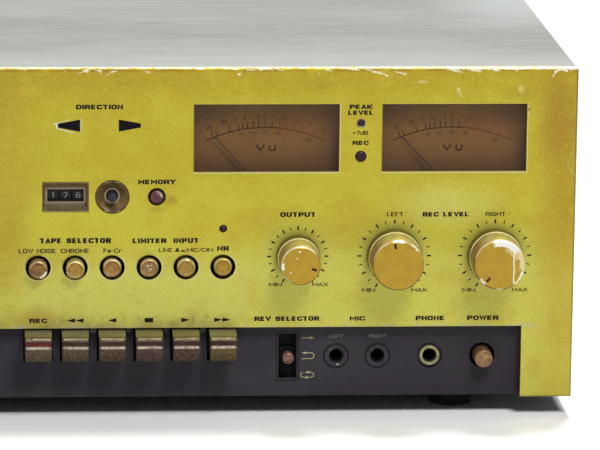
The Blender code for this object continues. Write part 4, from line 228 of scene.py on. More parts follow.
class Look(Nodes):
    """A Principled material, painted layer upon layer. Its places are millimetres in the panel's frame."""

    def __init__(self, name, **plain):
        self.material = looks[name] = bpy.data.materials.new(name)
        super().__init__(self.material)
        self.shader = self.tree.nodes["Principled BSDF"]
        for key, value in plain.items():
            self.shader.inputs[key.replace("_", " ")].default_value = value
        coords = self.add("ShaderNodeTexCoord", {})["Object"]
        self.place = self.vector("SCALE", self.vector("SUBTRACT", coords, tuple(at(0, 0, 0))), 1 / MM)
        parts = self.add("ShaderNodeSeparateXYZ", {0: self.place})
        self.x, self.y, self.z = (Field(self, part) for part in parts)

    def vector(self, operation, first, second):
        inputs = {0: first, "Scale" if operation == "SCALE" else 1: second}
        return self.add("ShaderNodeVectorMath", inputs, operation=operation)["Vector"]

    def noise(self, size, detail=4.0, stretch=(1, 1, 1), rough=0.55, shift=0.0):
        """Soft noise from 0 to 1 with features of about size millimetres, longer by stretch along each axis."""
        scale = self.vector("MULTIPLY", self.place, tuple(1 / (size * share) for share in stretch))
        moved = self.vector("ADD", scale, (shift, shift * 1.7, shift * 0.6))
        inputs = {"Vector": moved, "Scale": 1.0, "Detail": detail, "Roughness": rough}
        return Field(self, self.add("ShaderNodeTexNoise", inputs)["Fac"])

    def cells(self, size):
        """Distance from the nearest of many scattered points, in shares of size."""
        inputs = {"Vector": self.vector("SCALE", self.place, 1 / size), "Scale": 1.0}
        return Field(self, self.add("ShaderNodeTexVoronoi", inputs)["Distance"])

    def spot(self, x, z, wide, high, soft=0.5, ragged=0.0, grain=2.0):
        """An oval patch on the front: 1 in its middle, 0 outside, with a soft or ragged edge."""
        across = (self.x - x).math("DIVIDE", wide)
        up = (self.z - z).math("DIVIDE", high)
        far = (across * across + up * up).math("SQRT")
        if ragged:
            far = far + (self.noise(grain, 5.0, shift=x * 0.1 + z * 0.03) - 0.5) * ragged
        return far.rise(1.0, 1.0 - soft)

    def polar(self, x, z):
        """Distance from an axis through the front, and the angle round it, clockwise from the top."""
        across = self.x - x
        up = self.z - z
        return (across * across + up * up).math("SQRT"), across.math("ARCTAN2", up).math("DEGREES")

    def paint(self, share, shade):
        """Lays a shade over the colour so far."""
        self.colour = share.blend(self.colour, shade)

    def finish(self, rough, bump, depth):
        """Joins the colour, the roughness and a bump of the given depth to the shader."""
        self.put(self.shader.inputs["Base Color"], self.colour)
        self.put(self.shader.inputs["Roughness"], rough)
        if depth:
            inputs = {"Height": bump, "Strength": 1.0, "Distance": depth * MM}
            self.put(self.shader.inputs["Normal"], self.add("ShaderNodeBump", inputs)[0])


# Places on the gold sheet: x, z, half width and half height. The stains also have the softness and raggedness
# of their edge, their grain and their strength
EDGE_FLAKES = (
    (-50.0, 164.6, 4.5, 1.0), (-19.2, 163.5, 5.0, 2.0), (-12.7, 163.6, 2.6, 1.9), (-6.5, 162.9, 4.0, 1.6),
    (10.7, 163.1, 2.0, 0.9), (36.0, 164.4, 4.0, 0.9), (52.6, 164.3, 6.0, 1.1), (54.8, 161.8, 3.0, 2.2),
    (67.0, 164.4, 10.5, 1.2), (98.0, 163.9, 2.6, 1.4), (110.0, 164.2, 4.4, 0.9), (121.5, 162.7, 6.5, 1.7),
    (134.0, 162.2, 3.6, 1.1), (159.5, 163.5, 6.0, 1.2), (169.0, 163.8, 6.0, 1.2), (178.6, 164.0, 4.0, 1.2),
    (189.0, 164.0, 4.0, 1.1), (211.0, 163.8, 4.6, 1.6),
)
PALE_SMEARS = (
    (143.3, 157.9, 5.0, 1.1), (147.5, 160.1, 1.2, 0.9), (162.0, 153.6, 2.2, 2.8), (192.0, 154.5, 2.4, 3.4),
)
STAINS = (
    (21.6, 99.6, 5.4, 4.6, 0.95, 0.6, 3, 0.9), (14.5, 95.2, 6, 3, 0.95, 0.5, 3, 0.6),
    (-56, 84, 12, 26, 0.95, 0.4, 6, 0.45), (211, 138, 15, 30, 0.8, 0.4, 6, 0.95),
    (-43, 41, 16, 9, 0.8, 0.5, 5, 0.75), (214, 92, 6, 20, 0.95, 0.6, 6, 0.3),
    (192, 152, 12, 6, 0.95, 0.6, 6, 0.5), (94, 156, 10, 6, 0.95, 0.6, 6, 0.4),
    (201, 14, 6, 8, 0.95, 0.6, 5, 0.4),
)


def speckled(name, base, dark, light, size, metallic, rough, depth=0.03, gloss=0.25):
    """A plain painted, plated or moulded surface: two tones of mottling, fine grain and small specks."""
    look = Look(name, Metallic=metallic, Specular_IOR_Level=gloss)
    broad = look.noise(size * 4, 3.0)
    fine = look.noise(size * 0.25, 4.0, shift=3.0)
    look.colour = broad.rise(0.35, 0.65).blend(dark, base)
    look.paint(fine.rise(0.55, 0.75) * 0.6, light)
    smooth, dull = rough
    look.finish(broad.rise(0.3, 0.7, dull, smooth), fine, depth)


def gold_sheet():
    look = Look("gold_sheet", Metallic=0.5, Specular_IOR_Level=0.15)
    broad = look.noise(34, 2.0, (1.5, 1, 1))
    cloudy = look.noise(9, 2.5, (1.3, 1, 1), shift=2.0)
    grain = look.noise(0.42, 1.5, (1.1, 1, 1), shift=5.0)
    flecks = look.noise(1.9, 3.0, shift=8.0)
    # Paler and greener towards the bottom, browner towards the top: a painted reflection of the pale floor
    look.colour = look.z.rise(118, 92).blend((188, 174, 52), (194, 186, 62))
    look.paint(look.z.rise(84, 62), (198, 194, 88))
    look.paint(look.z.rise(142, 164), (180, 156, 42))
    left = look.x.rise(-36, -64)
    look.paint(left * 0.7, (174, 152, 50))
    right = look.x.rise(192, 214)
    low_right = look.z.rise(96, 40).blend((172, 142, 42), (188, 172, 70))
    look.paint(right * 0.85, low_right)
    look.paint(broad.rise(0.48, 0.7) * 0.4, (184, 154, 44))
    # Painted light below the knobs, standing for light thrown up from the pale floor
    painted_floor_bounce = look.z.rise(62, 50) * look.z.rise(36, 44) * look.x.rise(200, 176)
    look.paint(painted_floor_bounce * cloudy.rise(0.7, 0.4) * 0.6, (194, 196, 92))
    # Paler, greener ground round the knobs and below the buttons: painted reflection of the pale floor
    round_knobs = [look.spot(x, KNOB_Z - 1, 27, 25, 0.6, 0.3, 6) for x, _ in KNOBS]
    painted_floor_sheen = largest([look.z.rise(74, 62) * look.x.band(-50, 60, 6), *round_knobs])
    look.paint(painted_floor_sheen * 0.45, (197, 200, 106))
    paler = look.spot(156, 97, 38, 16, 0.9, 0.5, 8) * 0.55
    look.paint(paler, (208, 205, 116))
    look.paint(cloudy.rise(0.5, 0.7) * 0.26, (176, 148, 44))
    look.paint(cloudy.rise(0.48, 0.3) * 0.26, (200, 194, 70))
    dirt = look.z.rise(45, 37) * look.x.rise(60, 44) * cloudy.rise(0.3, 0.6)
    look.paint(dirt * 0.55, (150, 134, 84))
    stains = largest(look.spot(*place) * strength for *place, strength in STAINS)
    look.paint(stains * 0.7, (158, 120, 44))
    specks = look.cells(2.6).rise(0.13, 0.05) * look.noise(14, 2.0, shift=9.0).rise(0.5, 0.58)
    lower = look.z.rise(100, 62, 0.2, 0.9)
    look.paint(specks * lower, (112, 92, 48))
    pale = flecks.rise(0.68, 0.76) * 0.35
    look.paint(pale, (212, 206, 120))
    look.paint(grain.rise(0.42, 0.72, 0.0, 0.26), (160, 136, 30))
    look.paint(grain.rise(0.55, 0.3, 0.0, 0.24), (220, 214, 100))
    # Round each knob's foot, strongest above it: dirt and painted contact shade
    for x, radius in KNOBS:
        far, angle = look.polar(x, KNOB_Z)
        grime_and_contact_shade = (
            far.rise(radius + 5.5, radius + 1.0) * angle.sector(-150, 100, 60)
            * cloudy.rise(0.2, 0.5, 0.6, 1.0)
        )
        look.paint(grime_and_contact_shade * 0.5, (142, 138, 62))
    haze = (
        look.z.band(35.4, 37.6, 0.8) * look.x.band(-203, 203, 1)
        * look.noise(4.5, 4.0, shift=12.0).rise(0.4, 0.6)
    )
    look.paint(haze * 0.55, (182, 178, 140))
    smudge = (
        look.z.band(36.2, 43, 1.6) * look.x.band(-110, 52, 6)
        * look.noise(5, 4.0, (1, 1, 1.6), shift=14.0).rise(0.52, 0.66)
    )
    look.paint(smudge * 0.45, (142, 130, 76))
    # Rims of the windows and button holes: pale lines of wear and painted highlight along most edges, and
    # painted shade on the windows' left edges and the top of each button hole's rim
    rim_wear_and_highlight_lines = []
    painted_rim_shade_lines = []
    for low_x, high_x in WINDOWS:
        across = look.x.band(low_x - 0.3, high_x + 0.5, 0.1)
        up = look.z.band(WINDOW_LOW - 0.5, WINDOW_HIGH + 0.4, 0.1)
        rim_wear_and_highlight_lines.append(across * look.z.band(WINDOW_LOW - 0.55, WINDOW_LOW, 0.12))
        rim_wear_and_highlight_lines.append(up * look.x.band(high_x, high_x + 0.45, 0.12) * 0.9)
        rim_wear_and_highlight_lines.append(across * look.z.band(WINDOW_HIGH, WINDOW_HIGH + 0.3, 0.1) * 0.35)
        painted_rim_shade_lines.append(up * look.x.band(low_x - 0.4, low_x, 0.12) * 0.6)
    for x in BUTTON_XS:
        far, angle = look.polar(x, BUTTON_Z)
        ring = far.band(6.2, 6.75, 0.15)
        rim_wear_and_highlight_lines.append(ring * angle.sector(10, 260, 50) * 0.75)
        painted_rim_shade_lines.append(ring * angle.sector(-80, 40, 30) * 0.45)
    look.paint(largest(painted_rim_shade_lines), (112, 84, 40))
    look.paint(largest(rim_wear_and_highlight_lines) * flecks.rise(0.25, 0.45, 0.55, 1.0), (214, 204, 142))
    nicks = look.noise(1.6, 3.0, (1.8, 1, 0.5), shift=7.0)
    under = look.z.rise(162.4, 164.0) * cloudy.rise(0.3, 0.55)
    look.paint(under * 0.6, (144, 110, 44))
    edge = look.x.rise(218.6, 219.4)
    look.paint(edge * 0.5, (120, 104, 60))
    height = look.z + (nicks - 0.5) * 1.1
    wider = look.x.rise(120, 190, 0.0, 0.7)
    worn = (height + wider).rise(164.55, 164.75)
    flakes = look.noise(1.2, 5.0, (1.7, 1, 0.8), shift=17.0, rough=0.65)
    near = largest(look.spot(*place, 1.0) for place in EDGE_FLAKES)
    flaked = (flakes + near * 0.4).rise(0.8, 0.84)
    worn = worn | flaked
    smears = largest(look.spot(*place, 0.9, 0.7, 1.5) for place in PALE_SMEARS)
    look.paint(smears * flecks.rise(0.3, 0.6) * 0.6, (222, 212, 128))
    look.paint(worn, nicks.rise(0.4, 0.6).blend((222, 208, 144), (242, 238, 212)))
    rough = cloudy.rise(0.3, 0.7, 0.52, 0.42)
    look.finish(rough, grain + flecks * 0.5, 0.008)


def band_sheet():
    look = Look("band_sheet", Metallic=0.0, Specular_IOR_Level=0.2)
    broad = look.noise(24, 3.0, (2, 1, 1))
    fine = look.noise(0.5, 3.0, shift=4.0)
    look.colour = broad.rise(0.35, 0.65).blend((49, 44, 54), (57, 53, 60))
    right = look.x.rise(60, 200, 0.0, 0.5)
    look.paint(right, (40, 35, 42))
    places = ((-15.7, 1.0), (1.4, 0.7), (37.8, 1.0), (20.0, 0.4))
    spots = largest(look.spot(x, 33.4, 2.4, 2.2, 0.9, 0.9, 1.2) * strength for x, strength in places)
    look.paint(spots * 0.85, (172, 166, 172))
    # Painted shade along the top, under the gold panel's lower edge
    look.paint(look.z.rise(34.2, 35.6) * 0.5, (34, 28, 34))
    look.paint(fine.rise(0.55, 0.8) * 0.4, (84, 78, 88))
    look.paint(fine.rise(0.45, 0.25) * 0.4, (34, 30, 36))
    look.finish(fine.rise(0.3, 0.7, 0.62, 0.48), fine, 0.015)


def cover_sheet():
    look = Look("cover_sheet", Metallic=0.3, Specular_IOR_Level=0.3)
    streak = look.noise(3.2, 5.0, (26, 1, 3), rough=0.6)
    thin = look.noise(0.8, 4.0, (40, 1, 4), shift=3.0, rough=0.7)
    broad = look.noise(60, 3.0, (2, 1, 1), shift=1.0)
    look.colour = streak.rise(0.3, 0.7).blend((129, 132, 127), (152, 155, 149))
    look.paint(thin.rise(0.4, 0.75) * 0.5, (178, 180, 175))
    look.paint(thin.rise(0.5, 0.3) * 0.45, (108, 110, 106))
    look.paint(broad.rise(0.4, 0.7) * 0.3, (180, 182, 176))
    look.paint(look.y.rise(70, 6, 0.0, 0.5), (190, 194, 188))
    # Lighter towards the back on the right: painted reflection at the grazing view
    back = look.y.rise(90, 200) * look.x.rise(150, 215)
    look.paint(back * 0.6, (198, 202, 198))
    side = abs(look.x).rise(219.0, 219.3)
    look.paint(side * 0.5, (150, 152, 148))
    look.finish(thin.rise(0.3, 0.7, 0.55, 0.42), thin, 0.02)


def key_metal(name, middle, groove, front, olive):
    look = Look(name, Metallic=0.45, Specular_IOR_Level=0.25)
    across = abs(look.x - middle)
    inside = across.rise(6.05, 5.45)
    fine = look.noise(0.5, 4.0)
    broad = look.noise(3.0, 4.0, shift=2.0)
    nicks = look.noise(0.7, 3.0, (1.4, 1, 6), shift=6.0)
    worn = broad.rise(0.4, 0.56)
    # The front darkens towards its foot: painted shade
    look.colour = look.z.rise(29, 23).blend(front, tuple(value * 0.72 for value in front))
    mottle = look.noise(0.85, 3.0, shift=13.0)
    look.paint(mottle.rise(0.5, 0.72, 0.0, 0.6), (132, 112, 90))
    look.paint(mottle.rise(0.5, 0.3, 0.0, 0.6), (38, 28, 26))
    # A near black line along the foot: painted shadow
    look.paint(look.z.rise(22.6, 21.4, 0.0, 0.7), (34, 26, 28))
    tufts = look.noise(1.1, 3.0, shift=11.0)
    speckle = fine.rise(0.38, 0.62).blend(tuple(value * 0.76 for value in olive), olive)
    speckle = (tufts.rise(0.5, 0.62) * 0.45).blend(speckle, (158, 152, 104))
    speckle = (worn * 0.3).blend(speckle, (146, 140, 92))
    look.paint(look.z.rise(33.6, 34.0), speckle)
    under = look.z.band(32.1, 32.8, 0.1) * inside
    look.paint(under, fine.rise(0.4, 0.6).blend((58, 48, 38), (104, 92, 74)))
    glint = look.z.band(33.05, 33.55, 0.1) * nicks.rise(0.36, 0.44) * inside
    look.paint(glint, broad.rise(0.35, 0.6).blend((212, 204, 188), (168, 156, 134)))
    trough = broad.rise(0.4, 0.7).blend(groove, tuple(min(255, value * 1.3) for value in groove))
    look.paint(look.z.band(30.05, 32.05, 0.08), trough)
    # Along the lip: worn plating and painted highlight
    lip = look.z.band(28.75, 29.95, 0.12)
    lip_wear_and_highlight = nicks.rise(0.34, 0.5).blend((108, 90, 80), (182, 166, 152))
    look.paint(lip * worn.rise(0.0, 1.0, 0.75, 1.0) * inside.rise(0.0, 1.0, 0.25, 1.0), lip_wear_and_highlight)
    # Painted shade on the rounded sides of the top
    painted_side_shade = across.rise(5.6, 6.2) * look.z.rise(33.9, 33.3) * 0.45
    look.paint(painted_side_shade, (46, 38, 34))
    sides = look.y.rise(2.0, 5.0)
    look.paint(look.z.rise(33.6, 34.0) * look.y.rise(-3.0, 4.0) * 0.35, (176, 172, 140))
    # Painted shade where the key runs back under the gold panel
    look.paint(sides * 0.7, (40, 34, 34))
    look.finish(broad.rise(0.3, 0.7, 0.5, 0.36), fine + nicks, 0.02)


# Patches of wear, painted highlight and painted shade that start further out than this share of the radius are
# thin, with a finer edge
THIN_PATCH = 0.93


def knob_gold(name, x, radius, patches):
    look = Look(name, Metallic=0.55)
    far, angle = look.polar(x, KNOB_Z)
    fine = look.noise(0.3, 3.0)
    broad = look.noise(5.0, 3.0, shift=x)
    wander = (look.noise(1.6, 5.0, shift=x * 0.3) - 0.5) * 2.4
    look.colour = broad.rise(0.3, 0.7).blend((183, 151, 34), (173, 138, 30))
    look.paint(fine.rise(0.35, 0.7, 0.0, 0.45), (146, 110, 26))
    look.paint(fine.rise(0.55, 0.3, 0.0, 0.3), (222, 196, 104))
    side = look.y.rise(KNOB_FACE_Y + 0.5, KNOB_FACE_Y + 1.1)
    # The barrel: painted shade on its left and a painted highlight across its top
    barrel = broad.rise(0.35, 0.7).blend((176, 150, 96), (134, 100, 72))
    barrel = (angle.sector(-110, -20, 30) * 0.7).blend(barrel, (156, 120, 96))
    barrel = (angle.sector(-35, 60, 25) * broad.rise(0.25, 0.5) * 0.85).blend(barrel, (226, 214, 150))
    barrel = fine.rise(0.4, 0.7, 0.0, 0.35).blend(barrel, (92, 68, 48))
    look.paint(side, barrel)
    rim_far = far + wander
    for start, end, inner, shade in patches:
        thin = inner > THIN_PATCH
        edge = far + wander * 0.12 if thin else rim_far
        soft = 0.12 if thin else 0.25
        mask = angle.sector(start, end, 7) * edge.rise(inner * radius - soft, inner * radius + soft)
        front = look.y.rise(KNOB_FACE_Y + 2.6, KNOB_FACE_Y + 1.4)
        look.paint(mask * front, shade)
    # The flange's side: a painted reflection of the gold panel
    flange = look.y.rise(FLANGE_FRONT - 0.1, FLANGE_FRONT + 0.1)
    olive = broad.rise(0.35, 0.65).blend((112, 98, 46), (92, 76, 42))
    look.paint(flange, olive)
    # Painted highlight on the flange's front edge
    painted_flange_highlight = look.y.band(FLANGE_FRONT - 0.05, FLANGE_FRONT + 0.5, 0.1) * broad.rise(0.2, 0.45, 0.6, 1.0)
    look.paint(painted_flange_highlight, (240, 232, 168))
    # Painted shade in the groove at the barrel's foot
    groove = look.y.band(FLANGE_FRONT - 0.95, FLANGE_FRONT - 0.12, 0.06)
    look.paint(groove, (56, 42, 30))
    look.finish(broad.rise(0.3, 0.7, 0.42, 0.3), fine, 0.012)


def button_metal(name, x, z, face, body, rim, chips, metallic=0.5):
    look = Look(name, Metallic=metallic)
    far, angle = look.polar(x, z)
    fine = look.noise(0.4, 4.0, shift=x)
    broad = look.noise(2.0, 4.0, shift=x * 0.7)
    look.colour = broad.rise(0.35, 0.65).blend(face, body)
    bevel = far.rise(3.7, 4.0)
    look.paint(bevel, body)
    # Painted highlight across the top of the bevel, in the rim shade
    top = bevel * angle.sector(-75, 75, 25) * broad.rise(0.3, 0.45)
    look.paint(top * 0.85, rim)
    ring = far.band(2.95, 3.35, 0.12)
    look.paint(ring * angle.sector(60, 300, 30) * 0.6, (80, 56, 34))
    look.paint(ring * angle.sector(110, 250, 30) * 0.5, rim)
    for start, end, inner in chips:
        wander = far + (look.noise(1.2, 4.0, shift=start * 0.1) - 0.5)
        mask = angle.sector(start, end, 8) * wander.rise(inner - 0.15, inner + 0.15)
        look.paint(mask, (226, 218, 186))
    look.paint(fine.rise(0.55, 0.75) * 0.4, (206, 186, 128))
    look.finish(broad.rise(0.3, 0.7, 0.4, 0.28), fine, 0.015)


def counter_bronze():
    look = Look("counter_bronze", Metallic=0.5)
    fine = look.noise(0.5, 4.0)
    broad = look.noise(3.0, 4.0, shift=2.0)
    look.colour = broad.rise(0.35, 0.65).blend((148, 122, 66), (116, 94, 54))
    slope = look.y.rise(0.2, 0.7) * look.z.rise(98.2, 97.4) * look.x.rise(-14, -17)
    look.paint(slope * broad.rise(0.25, 0.5), fine.rise(0.4, 0.62).blend((94, 78, 56), (160, 144, 112)))
    rim = look.y.rise(0.12, 0.02)
    look.paint(rim * 0.8, (72, 52, 34))
    line = look.z.band(94.2, 94.6, 0.08) | look.x.band(-18.35, -18.05, 0.08) | look.z.band(108.5, 108.8, 0.08)
    look.paint(rim * line * fine.rise(0.3, 0.5) * 0.7, (190, 176, 136))
    far, angle = look.polar(RESET_X, 101.45)
    dish = far.rise(8.3, 8.0) * look.y.rise(0.05, 0.3)
    look.paint(dish * 0.6, angle.sector(90, 220, 50).blend((120, 98, 60), (168, 144, 96)))
    look.paint(far.band(3.0, 3.85, 0.15) * 0.9, (140, 130, 116))
    streak = far.band(3.9, 7.6, 0.4) * angle.sector(160, 192, 10) * 0.6
    look.paint(streak, (60, 42, 30))
    outline = look.y.rise(0.12, 0.02) * far.rise(7.9, 8.1) * far.rise(9.0, 8.8)
    look.paint(outline * 0.7, (58, 42, 28))
    frame = look.y.rise(2.2, 3.0) * look.y.rise(4.6, 4.2) * look.x.rise(-16, -18)
    look.paint(frame * 0.7, (150, 134, 120))
    hole = look.x.rise(9, 10) * look.y.rise(2.0, 2.6)
    look.paint(hole, (30, 20, 24))
    deep = look.y.rise(4.3, 5.0)
    look.paint(deep, (16, 14, 16))
    look.finish(broad.rise(0.3, 0.7, 0.45, 0.3), fine, 0.02)


def glass(name, shade, alpha, rough, depth=0.005):
    look = Look(name, Metallic=0.0)
    haze = look.noise(12, 3.0)
    fine = look.noise(0.8, 3.0, shift=2.0)
    look.put(look.shader.inputs["Alpha"], haze.rise(0.3, 0.7, alpha - 0.03, alpha + 0.04))
    look.material.surface_render_method = "BLENDED"
    look.colour = haze.blend(shade, tuple(min(255, value + 12) for value in shade))
    look.finish(fine.rise(0.3, 0.7, rough + 0.05, rough), fine, depth)


def scale_plate():
    look = Look("meter_scale_plate", Metallic=0.0)
    fine = look.noise(0.9, 4.0)
    broad = look.noise(16, 3.0, shift=3.0)
    look.colour = broad.rise(0.35, 0.65).blend((140, 98, 24), (144, 106, 32))
    for middle in METER_MIDDLES.values():
        # Painted shade towards the edges of the recessed face, round an oval in its middle
        corner = look.spot(middle, 129, 46, 24, 0.55)
        near = abs(look.x - middle).rise(44, 43)
        look.paint(near * (corner * -1.0 + 1.0), (111, 67, 36))
        look.paint(look.spot(middle + 15, 134, 18, 9, 0.9, 0.6, 6) * 0.4, (160, 82, 44))
    look.paint(look.z.rise(124, 112) * 0.75, (117, 77, 38))
    grain = look.noise(0.5, 2.0, shift=5.0)
    look.paint(fine.rise(0.5, 0.75) * 0.3, (172, 134, 68))
    look.paint(grain.rise(0.5, 0.7, 0.0, 0.35), (190, 151, 88))
    look.paint(grain.rise(0.5, 0.3, 0.0, 0.35), (92, 60, 34))
    look.finish(fine.rise(0.3, 0.7, 0.75, 0.6), fine, 0.01)


def ink(name, dark, light, share=0.45):
    """Printed ink with small gaps of wear."""
    look = Look(name, Metallic=0.0, Specular_IOR_Level=0.15)
    fine = look.noise(0.35, 4.0)
    look.colour = (fine.rise(0.5, 0.8) * share).blend(dark, light)
    look.finish(fine.rise(0.3, 0.7, 0.6, 0.45), fine, 0.004)


def pin_look():
    """Worn copper plating that darkens towards the slot, where the darkening is painted shade."""
    look = Look("selector_pin_plating", Metallic=0.4, Specular_IOR_Level=0.3)
    fine = look.noise(0.5, 3.0)
    look.colour = fine.rise(0.35, 0.65).blend((132, 98, 86), (160, 122, 104))
    # Painted shade on the part back in the slot
    look.paint(look.y.rise(4.0, 8.0), (34, 26, 30))
    look.finish(fine.rise(0.3, 0.7, 0.45, 0.3), fine, 0.02)


def memory_cap():
    look = Look("memory_cap_finish", Metallic=0.1, Specular_IOR_Level=0.3)
    fine = look.noise(0.4, 3.0)
    look.colour = look.noise(1.6, 3.0, shift=2.0).rise(0.35, 0.65).blend((78, 46, 48), (98, 64, 60))
    far, angle = look.polar(MEMORY_X, COUNTER_Z)
    # A pale patch on the upper right: worn plating and a painted highlight
    worn = far.band(1.7, 2.9, 0.3) * angle.sector(5, 85, 20) * look.noise(0.9, 3.0, shift=4.0).rise(0.4, 0.55)
    look.paint(worn * 0.8, (206, 176, 166))
    look.finish(fine.rise(0.3, 0.7, 0.5, 0.35), fine, 0.02)


# Pieces
def add(name, mesh, look, body):
    mesh.materials.append(looks[look])
    item = bpy.data.objects.new(name, mesh)
    bpy.context.scene.collection.objects.link(item)
    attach(item, body)
    return item


def piece(name, points, faces, look, body, smooth=False):
    mesh = bpy.data.meshes.new(name)
    mesh.from_pydata([tuple(point) for point in points], [], faces)
    shape = bmesh.new()
    shape.from_mesh(mesh)
    bmesh.ops.remove_doubles(shape, verts=shape.verts, dist=0.000001)
    bmesh.ops.recalc_face_normals(shape, faces=shape.faces)
    shape.to_mesh(mesh)
    shape.free()
    if smooth:
        mesh.shade_smooth()
        mesh.set_sharp_from_angle(angle=math.radians(32))
    return add(name, mesh, look, body)


def plate(name, low, high, look):
    """A flat plate from its low to its high corner."""
    corners = [at(x, y, z) for y in (low[1], high[1]) for x, z in outline(low[0], low[2], high[0], high[2])[:4]]
    sides = [(0, 1, 2, 3), (7, 6, 5, 4), (0, 4, 5, 1), (1, 5, 6, 2), (2, 6, 7, 3), (3, 7, 4, 0)]
    piece(name, corners, sides, look, "deck")


def turned(profile, sides, place):
    """The points and faces of a turned shape. place makes a point of a radius, an angle and a reach."""
    turns = [2 * math.pi * step / sides for step in range(sides)]
    points = [place(radius, turn, reach) for radius, reach in profile for turn in turns]
    faces = []
    for row in range(0, (len(profile) - 1) * sides, sides):
        for step in range(sides):
            following = (step + 1) % sides
            faces.append((row + step, row + following, row + sides + following, row + sides + step))
    return points, faces


def lathe(name, x, z, profile, look, sides, body="deck"):
    """A turned piece about an axis through (x, z) of the front. Its profile is (radius, y), front to back."""

    def place(radius, turn, y):
        return at(x + radius * math.sin(turn), y, z + radius * math.cos(turn))

    item = piece(name, *turned(profile, sides, place), look, body, smooth=True)
    return item


def refine(name, x, z, profile, look, sides):
    """A finer turned piece in the place of a carried-over one."""
    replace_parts(lathe(name + "_turned", x, z, profile, look, sides, name), name)


def screw(name, place, out, radius, high):
    """A domed head with a cross recess drawn as a flat dark cross of painted shade, its axis out of the face it
    holds.
    """
    along = Vector(out)
    first = Vector((0, 0, 1)) if abs(along.z) < 0.5 else Vector((1, 0, 0))
    second = along.cross(first)
    sides = 28
    profile = (
        (radius, 0.0), (radius, high * 0.35), (radius * 0.86, high * 0.72), (radius * 0.5, high * 0.95),
        (radius * 0.14, high),
    )

    def spun(far, turn, up):
        return place + ((first * math.cos(turn) + second * math.sin(turn)) * far + along * up) * MM

    points, faces = turned(profile, sides, spun)
    faces.append(tuple(range(len(points) - sides, len(points))))
    piece(name, points, faces, "screw_plating", "deck", smooth=True)
    # The recess is a flat dark cross: painted shade
    marks = []
    lift = along * (high * 0.985 + PRINT_PROUD) * MM
    for way, across in ((first + second, first - second), (first - second, first + second)):
        way = way.normalized() * radius * 0.62 * MM
        across = across.normalized() * radius * 0.11 * MM
        marks += [place + lift + end for end in (way + across, way - across, -way - across, across - way)]
        lift = lift + along * PRINT_PROUD * 0.5 * MM
    piece(name + "_cross", marks, [(0, 1, 2, 3), (4, 5, 6, 7)], "screw_recess", "deck")


# Each letter: its width, and its strokes in a box one high as x,z points. A third number rounds the corner
LETTERS = {
    "A": (1.0, "0,0 .5,1 1,0;.2,.3 .8,.3"),
    "B": (0.95, "0,.53 .85,.53,.15 .85,1,.2 0,1 0,0 .95,0,.2 .95,.53,.2 .6,.53"),
    "C": (1.0, "1,.68 1,1,.28 0,1,.32 0,0,.32 1,0,.28 1,.32"),
    "D": (1.0, "0,.5 0,1 1,1,.36 1,0,.36 0,0 0,.5"), "E": (0.9, ".9,1 0,1 0,0 .9,0;0,.5 .84,.5"),
    "F": (0.86, ".86,1 0,1 0,0;0,.5 .78,.5"),
    "G": (1.0, "1,.72 1,1,.28 0,1,.32 0,0,.32 1,0,.3 1,.47 .55,.47"), "H": (1.0, "0,0 0,1;1,0 1,1;0,.5 1,.5"),
    "I": (0.0, "0,0 0,1"), "J": (0.85, ".85,1 .85,0,.3 0,0,.3 0,.34"),
    "K": (0.95, "0,0 0,1;0,.48 .34,.48 .92,1;.34,.48 .95,0"), "L": (0.85, "0,1 0,0 .85,0"),
    "M": (1.2, "0,0 0,1 .6,.3 1.2,1 1.2,0"), "N": (1.0, "0,0 0,1 1,0 1,1"),
    "O": (1.0, ".5,1 1,1,.34 1,0,.34 0,0,.34 0,1,.34 .5,1"),
    "P": (0.95, "0,0 0,1 .95,1,.27 .95,.42,.27 0,.42"),
    "R": (1.0, "0,0 0,1 1,1,.27 1,.45,.25 0,.45;.58,.45 1,0"),
    "S": (0.95, ".95,.74 .95,1,.24 0,1,.25 0,.52,.22 .95,.52,.22 .95,0,.25 0,0,.24 0,.28"),
    "T": (0.95, "0,1 .95,1;.475,1 .475,0"), "U": (1.0, "0,1 0,0,.34 1,0,.34 1,1"),
    "V": (1.05, "0,1 .525,0 1.05,1"), "W": (1.45, "0,1 .36,0 .725,1 1.09,0 1.45,1"),
    "X": (1.0, "0,0 1,1;0,1 1,0"), "Y": (1.0, "0,1 .5,.46 1,1;.5,.46 .5,0"),
    "d": (0.75, ".75,1 .75,0 0,0,.25 0,.66,.25 .75,.66"),
    "e": (0.75, "0,.36 .75,.36 .75,.7,.24 0,.7,.26 0,0,.26 .72,0,.2 .72,.14"),
    "r": (0.5, "0,0 0,.68;0,.4 0,.68,.22 .5,.68"), "-": (0.45, "0,.45 .45,.45"),
    "+": (0.7, "0,.5 .7,.5;.35,.15 .35,.85"), "/": (0.5, "0,-.08 .5,1.08"), " ": (0.45, ""),
    "0": (0.8, ".4,1 .8,1,.3 .8,0,.3 0,0,.3 0,1,.3 .4,1"), "1": (0.3, "0,.74 .3,1 .3,0"),
    "2": (0.8, "0,.76 0,1,.24 .8,1,.24 .8,.54,.2 0,.46,.22 0,0 .8,0"),
    "3": (0.8, "0,.8 0,1,.2 .8,1,.22 .8,.52,.14 .25,.52;.3,.52 .8,.52,.16 .8,0,.22 0,0,.2 0,.2"),
    "4": (0.85, ".62,0 .62,1 0,.3 .85,.3"), "5": (0.8, ".76,1 0,1 0,.56 .8,.56,.22 .8,0,.22 0,0,.2 0,.18"),
    "6": (0.8, ".74,.86 .74,1,.14 0,1,.25 0,0,.25 .8,0,.25 .8,.56,.22 0,.56"),
    "7": (0.8, "0,1 .8,1 .8,.84 .3,0"),
    "8": (0.8, ".4,.54 .06,.54,.16 .06,1,.2 .74,1,.2 .74,.54,.16 .4,.54;"
     ".4,.54 0,.54,.18 0,0,.22 .8,0,.22 .8,.54,.18 .4,.54"),
    "9": (0.8, ".06,.14 .06,0,.14 .8,0,.25 .8,1,.25 0,1,.25 0,.44,.22 .8,.44"),
}
CURVE_STEPS = 5


